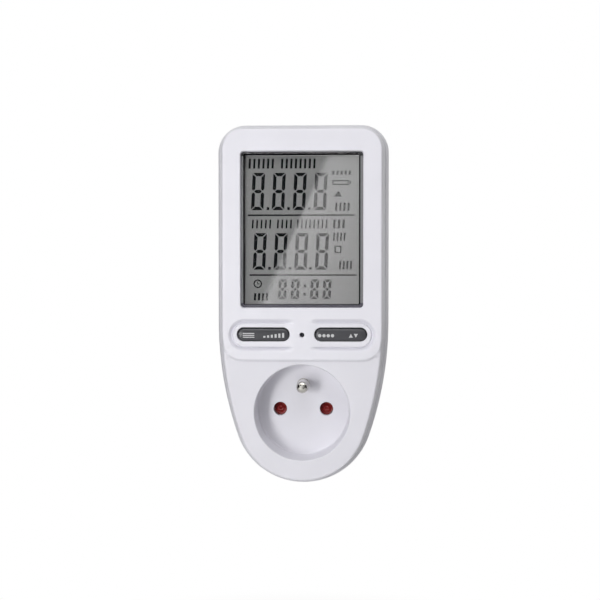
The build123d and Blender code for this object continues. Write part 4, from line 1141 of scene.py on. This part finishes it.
def rocker_key(name, side):
    """Key cap: nested stadium rings from the flange up over the soft edge to the middle line of its crown.

    From the edge to the middle line the crown stands key_crown * (1 - share)^2 below the top. Two legs and
    a journal across the key are closed rods of their own.
    """
    shell = Shell()
    centre = (side * key_x, key_z)
    half = key_height / 2
    under = key_flange_out - key_flange_thickness
    shoulder = key_top_out - key_crown

    def ring(inset, out, spread=0.0):
        """A stadium loop: the key's outline, grown by spread and then drawn in by inset."""
        length, height = key_length + 2 * spread, key_height + 2 * spread
        return raised(rounded(centre, length, height, half + spread, inset, corner=16, side=12), out)

    rings = [ring(half - key_ridge, under, key_flange), ring(0, under, key_flange)]
    rings += [ring(0, key_flange_out, key_flange), ring(0, key_flange_out)]
    rings.append(ring(0, shoulder - key_edge_radius))
    for inset, out in edge_round(0, shoulder, key_edge_radius, key_edge_radius, 9, start=10):
        rings.append(ring(inset, out))
    for share in np.linspace(0, 1, 7)[1:]:
        inset = key_edge_radius + share * (half - key_ridge - key_edge_radius)
        rings.append(ring(inset, key_top_out - key_crown * (1 - share) ** 2))
    under_rim, top_rim = shell.ribbon(rings)
    shell.fill(top_rim, [], flat(key_top_out))
    shell.fill(under_rim, [], flat(under))
    leg_end = under + key_leg_root
    leg = stepped((0.0, key_leg_out), (key_leg_radius, key_leg_out, leg_end), (0.0, leg_end))
    for end in (-1, 1):
        shell.turned(leg, (centre[0] + end * key_leg_x, key_z), 32)
    rod = circle((0, 0), journal_radius, 32)
    reach = half + key_flange + journal_reach
    loops = []
    for scale, offset in ((0, -reach), (1, -reach), (1, reach), (0, reach)):
        across, level = (scale * rod).T
        along = np.full(len(rod), key_z + offset)
        loops.append(np.column_stack((centre[0] + across, level - key_pivot_out, along)))
    shell.ribbon(loops)
    shell.make(name + "_cap", name, key_plastic, [name], sharp=50)


def clear_plate(name, source, radius, back_gap, edge, material, sharp):
    """Clear plate in the box of its source node, with the edge's (inset, drop) steps at its front."""
    middle, width, height, back_out, front_out = flat_box(source)
    back_out += back_gap
    steps = [(plate_chamfer, back_out), (0, back_out + plate_chamfer)]
    steps += [(inset, front_out + drop) for inset, drop in edge]
    shell = Shell()
    shell.block(nested(steps, middle, width, height, radius, corner=12))
    hide(shell.make(name, "case", material, [source], sharp=sharp), ["shadow"])


def window_lens():
    """Clear window, whose front edge falls away in a wide and shallow round."""
    edge = edge_round(0, 0, lens_bevel, lens_bevel_drop, 8)
    source = "display_window"
    clear_plate("window_lens", source, lens_radius, 0.0, edge, clear_window, 50)


def printed_border():
    """Border printed behind the window: a toned band at its edge, painted dark at its head as painted
    shade, and a black line round its inner side, whose widths are partly painted shade.
    """
    middle, width, height = flat_box("display_window")[:3]
    back_out, front_out = flat_box("window_mask")[3:]

    def outline(margins, out):
        """A loop that lies inside the lens's outline by the margins of its four sides."""
        left, right, foot, head = margins
        centre = (middle[0] + (left - right) / 2, middle[1] + (foot - head) / 2)
        radius = lens_radius - min(margins)
        return raised(rounded(centre, width - left - right, height - foot - head, radius, corner=12), out)

    def ring(name, outer, inner, material):
        """Flat frame between two sets of margins, its section carried round them."""
        steps = stepped((outer, back_out, front_out), (inner, front_out, back_out), (outer, back_out))
        shell = Shell()
        shell.ribbon([outline(*step) for step in steps])
        made = shell.make(name, "case", material, sharp=30)
        hide(made, ["shadow"])
        return made

    band = ring("mask_band_and_shade", (0, 0, 0, 0), black_line_and_shade_start, band_print_and_shade)
    ring("mask_line_and_shade", black_line_and_shade_start, black_line_and_shade_end, black_print)
    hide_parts("window_mask")


def cell_glass():
    """Front glass of the display cell, chamfered and a hair off the film behind it."""
    edge = [(0, -plate_chamfer), (plate_chamfer, 0)]
    source = "lcd_front_glass"
    clear_plate("display_glass", source, glass_radius, cell_gap, edge, display_glass, 20)


def segments(left, base, width, height, stroke, slant):
    """Seven mitred strokes of one figure, segment_gap of a stroke apart.

    The upper half gives the lower one by mirroring, and each point leans right by slant * z / height.
    """
    gap, middle, half = segment_gap * stroke, height / 2, stroke / 2
    top = [(gap, height), (width - gap, height), (width - stroke - gap, height - stroke)]
    top.append((stroke + gap, height - stroke))
    upper = [(0, height - gap), (stroke, height - stroke - gap), (stroke, middle + half + gap)]
    upper += [(half, middle + gap), (0, middle + half + gap)]
    bridge = [(half + gap, middle), (stroke + gap, middle + half), (width - stroke - gap, middle + half)]
    bridge += [(width - half - gap, middle), (width - stroke - gap, middle - half)]
    bridge.append((stroke + gap, middle - half))
    top, upper = np.array(top), np.array(upper)
    down, across = np.array((1, -1)), np.array((-1, 1))
    drop, shift = np.array((0, height)), np.array((width, 0))
    strokes = [top, top * down + drop, upper, upper * across + shift]
    strokes += [upper * down + drop, upper * across * down + shift + drop, np.array(bridge)]
    return [np.column_stack((left + s[:, 0] + slant * s[:, 1] / height, base + s[:, 1])) for s in strokes]


def bar(left, base, width, height, slant=0.0):
    """Upright stroke that leans to the right by slant at its top."""
    top = base + height
    return [(left, base), (left + width, base), (left + width + slant, top), (left + slant, top)]


def ring_strokes(centre, radius, stroke, count=12):
    """Ring of straight strokes, each between two neighbouring rays of a circle."""
    inner, outer = circle(centre, radius - stroke, count), circle(centre, radius, count)
    return list(np.stack((inner, outer, np.roll(outer, -1, axis=0), np.roll(inner, -1, axis=0)), axis=1))


def plates(name, outlines, back_out, front_out, material, body, slot):
    """Thin plates with the given convex outlines, each a closed solid between two levels."""
    shell = Shell()
    for outline in outlines:
        shell.plate(outline, back_out, front_out)
    shell.make(name, body, material, sharp=20, weld=0.0004)


def display_strokes():
    """Dark strokes on the cell's film: figures, points, dividing lines, tally bars and small signs."""
    strokes = [stroke for digit in digits for stroke in segments(*digit)]
    strokes += [rounded(place, point_width, point_height, point_radius, corner=4) for place in points]
    for left, right, z in dividers:
        middle = ((left + right) / 2, z)
        strokes.append(rounded(middle, right - left, divider_height, divider_radius, corner=4))
    for left, base, count, pitch, height, width in bar_rows:
        strokes += [bar(left + step * pitch, base, width, height, bar_slant) for step in range(count)]
    strokes += [bar(*sizes) for sizes in battery_bars]
    strokes.append(triangle_sign)
    strokes += [bar(*sizes) for sizes in square_bars]
    strokes += ring_strokes(clock_centre, clock_radius, clock_stroke)
    strokes += [bar(*sizes) for sizes in clock_hands]
    back_out = flat_box("lcd_front_glass")[3] + stroke_lift
    front_out = back_out + stroke_thickness
    plates("display_strokes", strokes, back_out, front_out, stroke_film, "case", "black_print")


def key_prints():
    """White pictograms on the two rocker keys, a hair above their crown."""
    levels = (key_top_out - print_sink, key_top_out + print_lift)
    left = [bar(*sizes) for sizes in long_bars + growing_bars]
    plates("left_key_print", left, *levels, white_print, "left_key", "inner_plastic")
    right = [circle(place, dot_radius, 16) for place in dot_places] + [up_triangle, down_triangle]
    plates("right_key_print", right, *levels, white_print, "right_key", "inner_plastic")


def turned_to(made, place, target):
    """Puts a lamp or camera at place and points it at target."""
    made.location = place
    made.rotation_euler = (Vector(target) - Vector(place)).to_track_quat("-Z", "Y").to_euler()


def camera():
    """Camera at the photograph's distance and angle."""
    lens = bpy.data.cameras.new("camera")
    lens.lens = camera_lens
    lens.sensor_width = 36.0
    lens.clip_start = 0.02
    lens.clip_end = 20.0
    holder = placed("camera", lens)
    turned_to(holder, camera_place, camera_target)
    bpy.context.scene.camera = holder


def card(name, corners, material, hidden=()):
    """Flat stage card that the hidden kinds of rays don't see."""
    mesh = bpy.data.meshes.new(name)
    mesh.from_pydata(corners, [], [(0, 1, 2, 3)])
    mesh.materials.append(material)
    piece = placed(name, mesh)
    hide(piece, hidden)


def reflection_card():
    """Card behind the camera that the window mirrors: dark, and bright past a slanting edge.

    With d the distance past the edge, its strength falls evenly from card_peak at d = 0 to card_rest at
    d = card_fade, times a smooth step over the edge.
    """
    made = bpy.data.materials.new("card_light")
    made.use_nodes = True
    made.node_tree.nodes.clear()
    along = np.array(card_edge_head) - np.array(card_edge_foot)
    across = np.array((along[1], -along[0])) / np.hypot(*along)
    start = float(across @ np.array(card_edge_head))
    place = node(made, "ShaderNodeTexCoord")
    past = math_node(made, "ShaderNodeVectorMath", "DOT_PRODUCT")
    past.inputs[1].default_value = (across[0], 0, across[1])
    fall = map_node(made, start, start + card_fade, card_peak, card_rest)
    edge = map_node(made, start - card_edge_blur, start + card_edge_blur, curve="SMOOTHSTEP")
    product = math_node(made, "ShaderNodeMath", "MULTIPLY")
    glow = node(made, "ShaderNodeEmission")
    output = node(made, "ShaderNodeOutputMaterial")
    join(
        made,
        (place, "Object", past, 0),
        (past, "Value", fall, "Value"),
        (past, "Value", edge, "Value"),
        (fall, "Result", product, 0),
        (edge, "Result", product, 1),
        (product, 0, glow, "Strength"),
        (glow, "Emission", output, "Surface"),
    )
    corners = [(-card_half_width, card_y, card_low), (card_half_width, card_y, card_low)]
    corners += [(card_half_width, card_y, card_high), (-card_half_width, card_y, card_high)]
    card("reflection_card", corners, made, ["camera", "diffuse", "shadow"])


def dark_flag(name, x, start, end):
    """Black card beside the object, upright from start to end in depth, that only reflections show."""
    felt = surface(name + "_felt", 1.0, Specular_IOR_Level=0.0, Base_Color=(0.01, 0.01, 0.01, 1))[0]
    corners = [(x, start, flag_low), (x, end, flag_low), (x, end, flag_high), (x, start, flag_high)]
    card(name, corners, felt, ["camera", "diffuse", "shadow", "transmission"])


def area_light(name, place, size, power, hidden):
    """Square soft box that shines from place to the object, and that the hidden kinds of rays don't see."""
    lamp = bpy.data.lights.new(name, "AREA")
    lamp.shape = "SQUARE"
    lamp.size = size
    lamp.energy = power
    holder = placed(name, lamp)
    turned_to(holder, place, lamp_target)
    hide(holder, ["camera", *hidden])


def world():
    """Even soft surround that is plain white to the camera, in reflections and through glass."""
    made = bpy.data.worlds.new("studio")
    bpy.context.scene.world = made
    made.use_nodes = True
    made.node_tree.nodes.clear()
    path = node(made, "ShaderNodeLightPath")
    sees = math_node(made, "ShaderNodeMath", "MAXIMUM")
    through = math_node(made, "ShaderNodeMath", "MAXIMUM")
    soft = node(made, "ShaderNodeBackground", Color=(1, 1, 1, 1), Strength=surround_strength)
    white = node(made, "ShaderNodeBackground", Color=(1, 1, 1, 1), Strength=1.0)
    mix = node(made, "ShaderNodeMixShader")
    output = node(made, "ShaderNodeOutputWorld")
    join(
        made,
        (path, "Is Camera Ray", sees, 0),
        (path, "Is Glossy Ray", sees, 1),
        (sees, 0, through, 0),
        (path, "Is Transmission Ray", through, 1),
        (through, 0, mix, "Fac"),
        (soft, 0, mix, 1),
        (white, 0, mix, 2),
        (mix, 0, output, "Surface"),
    )


def floor():
    """Plain pale floor under the held object, which turns white away from it for the camera."""
    made, shader = surface("floor_paper", 0.9, Base_Color=(0.78, 0.78, 0.78, 1))
    place = node(made, "ShaderNodeTexCoord")
    reach = math_node(made, "ShaderNodeVectorMath", "LENGTH")
    fade = map_node(made, floor_fade_start, floor_fade_end, curve="SMOOTHSTEP")
    path = node(made, "ShaderNodeLightPath")
    seen = math_node(made, "ShaderNodeMath", "MULTIPLY")
    white = node(made, "ShaderNodeEmission")
    mix = node(made, "ShaderNodeMixShader")
    join(
        made,
        (place, "Object", reach, 0),
        (reach, "Value", fade, "Value"),
        (path, "Is Camera Ray", seen, 0),
        (fade, "Result", seen, 1),
        (seen, 0, mix, "Fac"),
        (shader, "BSDF", mix, 1),
        (white, "Emission", mix, 2),
        (mix, "Shader", made.node_tree.nodes["Material Output"], "Surface"),
    )
    half, z = floor_half_width, floor_z
    card("floor", [(-half, -half, z), (half, -half, z), (half, half, z), (-half, half, z)], made)


front_cover()
window_lens()
printed_border()
cell_glass()
display_strokes()
key_prints()
socket_cup()
earth_pin()
live_pins()
rocker_key("left_key", -1)
rocker_key("right_key", 1)
shutter()
shutter_spring()
finish_nodes()

camera()
world()
floor()
reflection_card()
dark_flag("left_flag", x=-0.5, start=-0.7, end=0.5)
dark_flag("right_flag", x=0.5, start=-0.7, end=0.0)
for lamp in lamps:
    area_light(*lamp)

view = bpy.context.scene.view_settings
view.view_transform = "Standard"
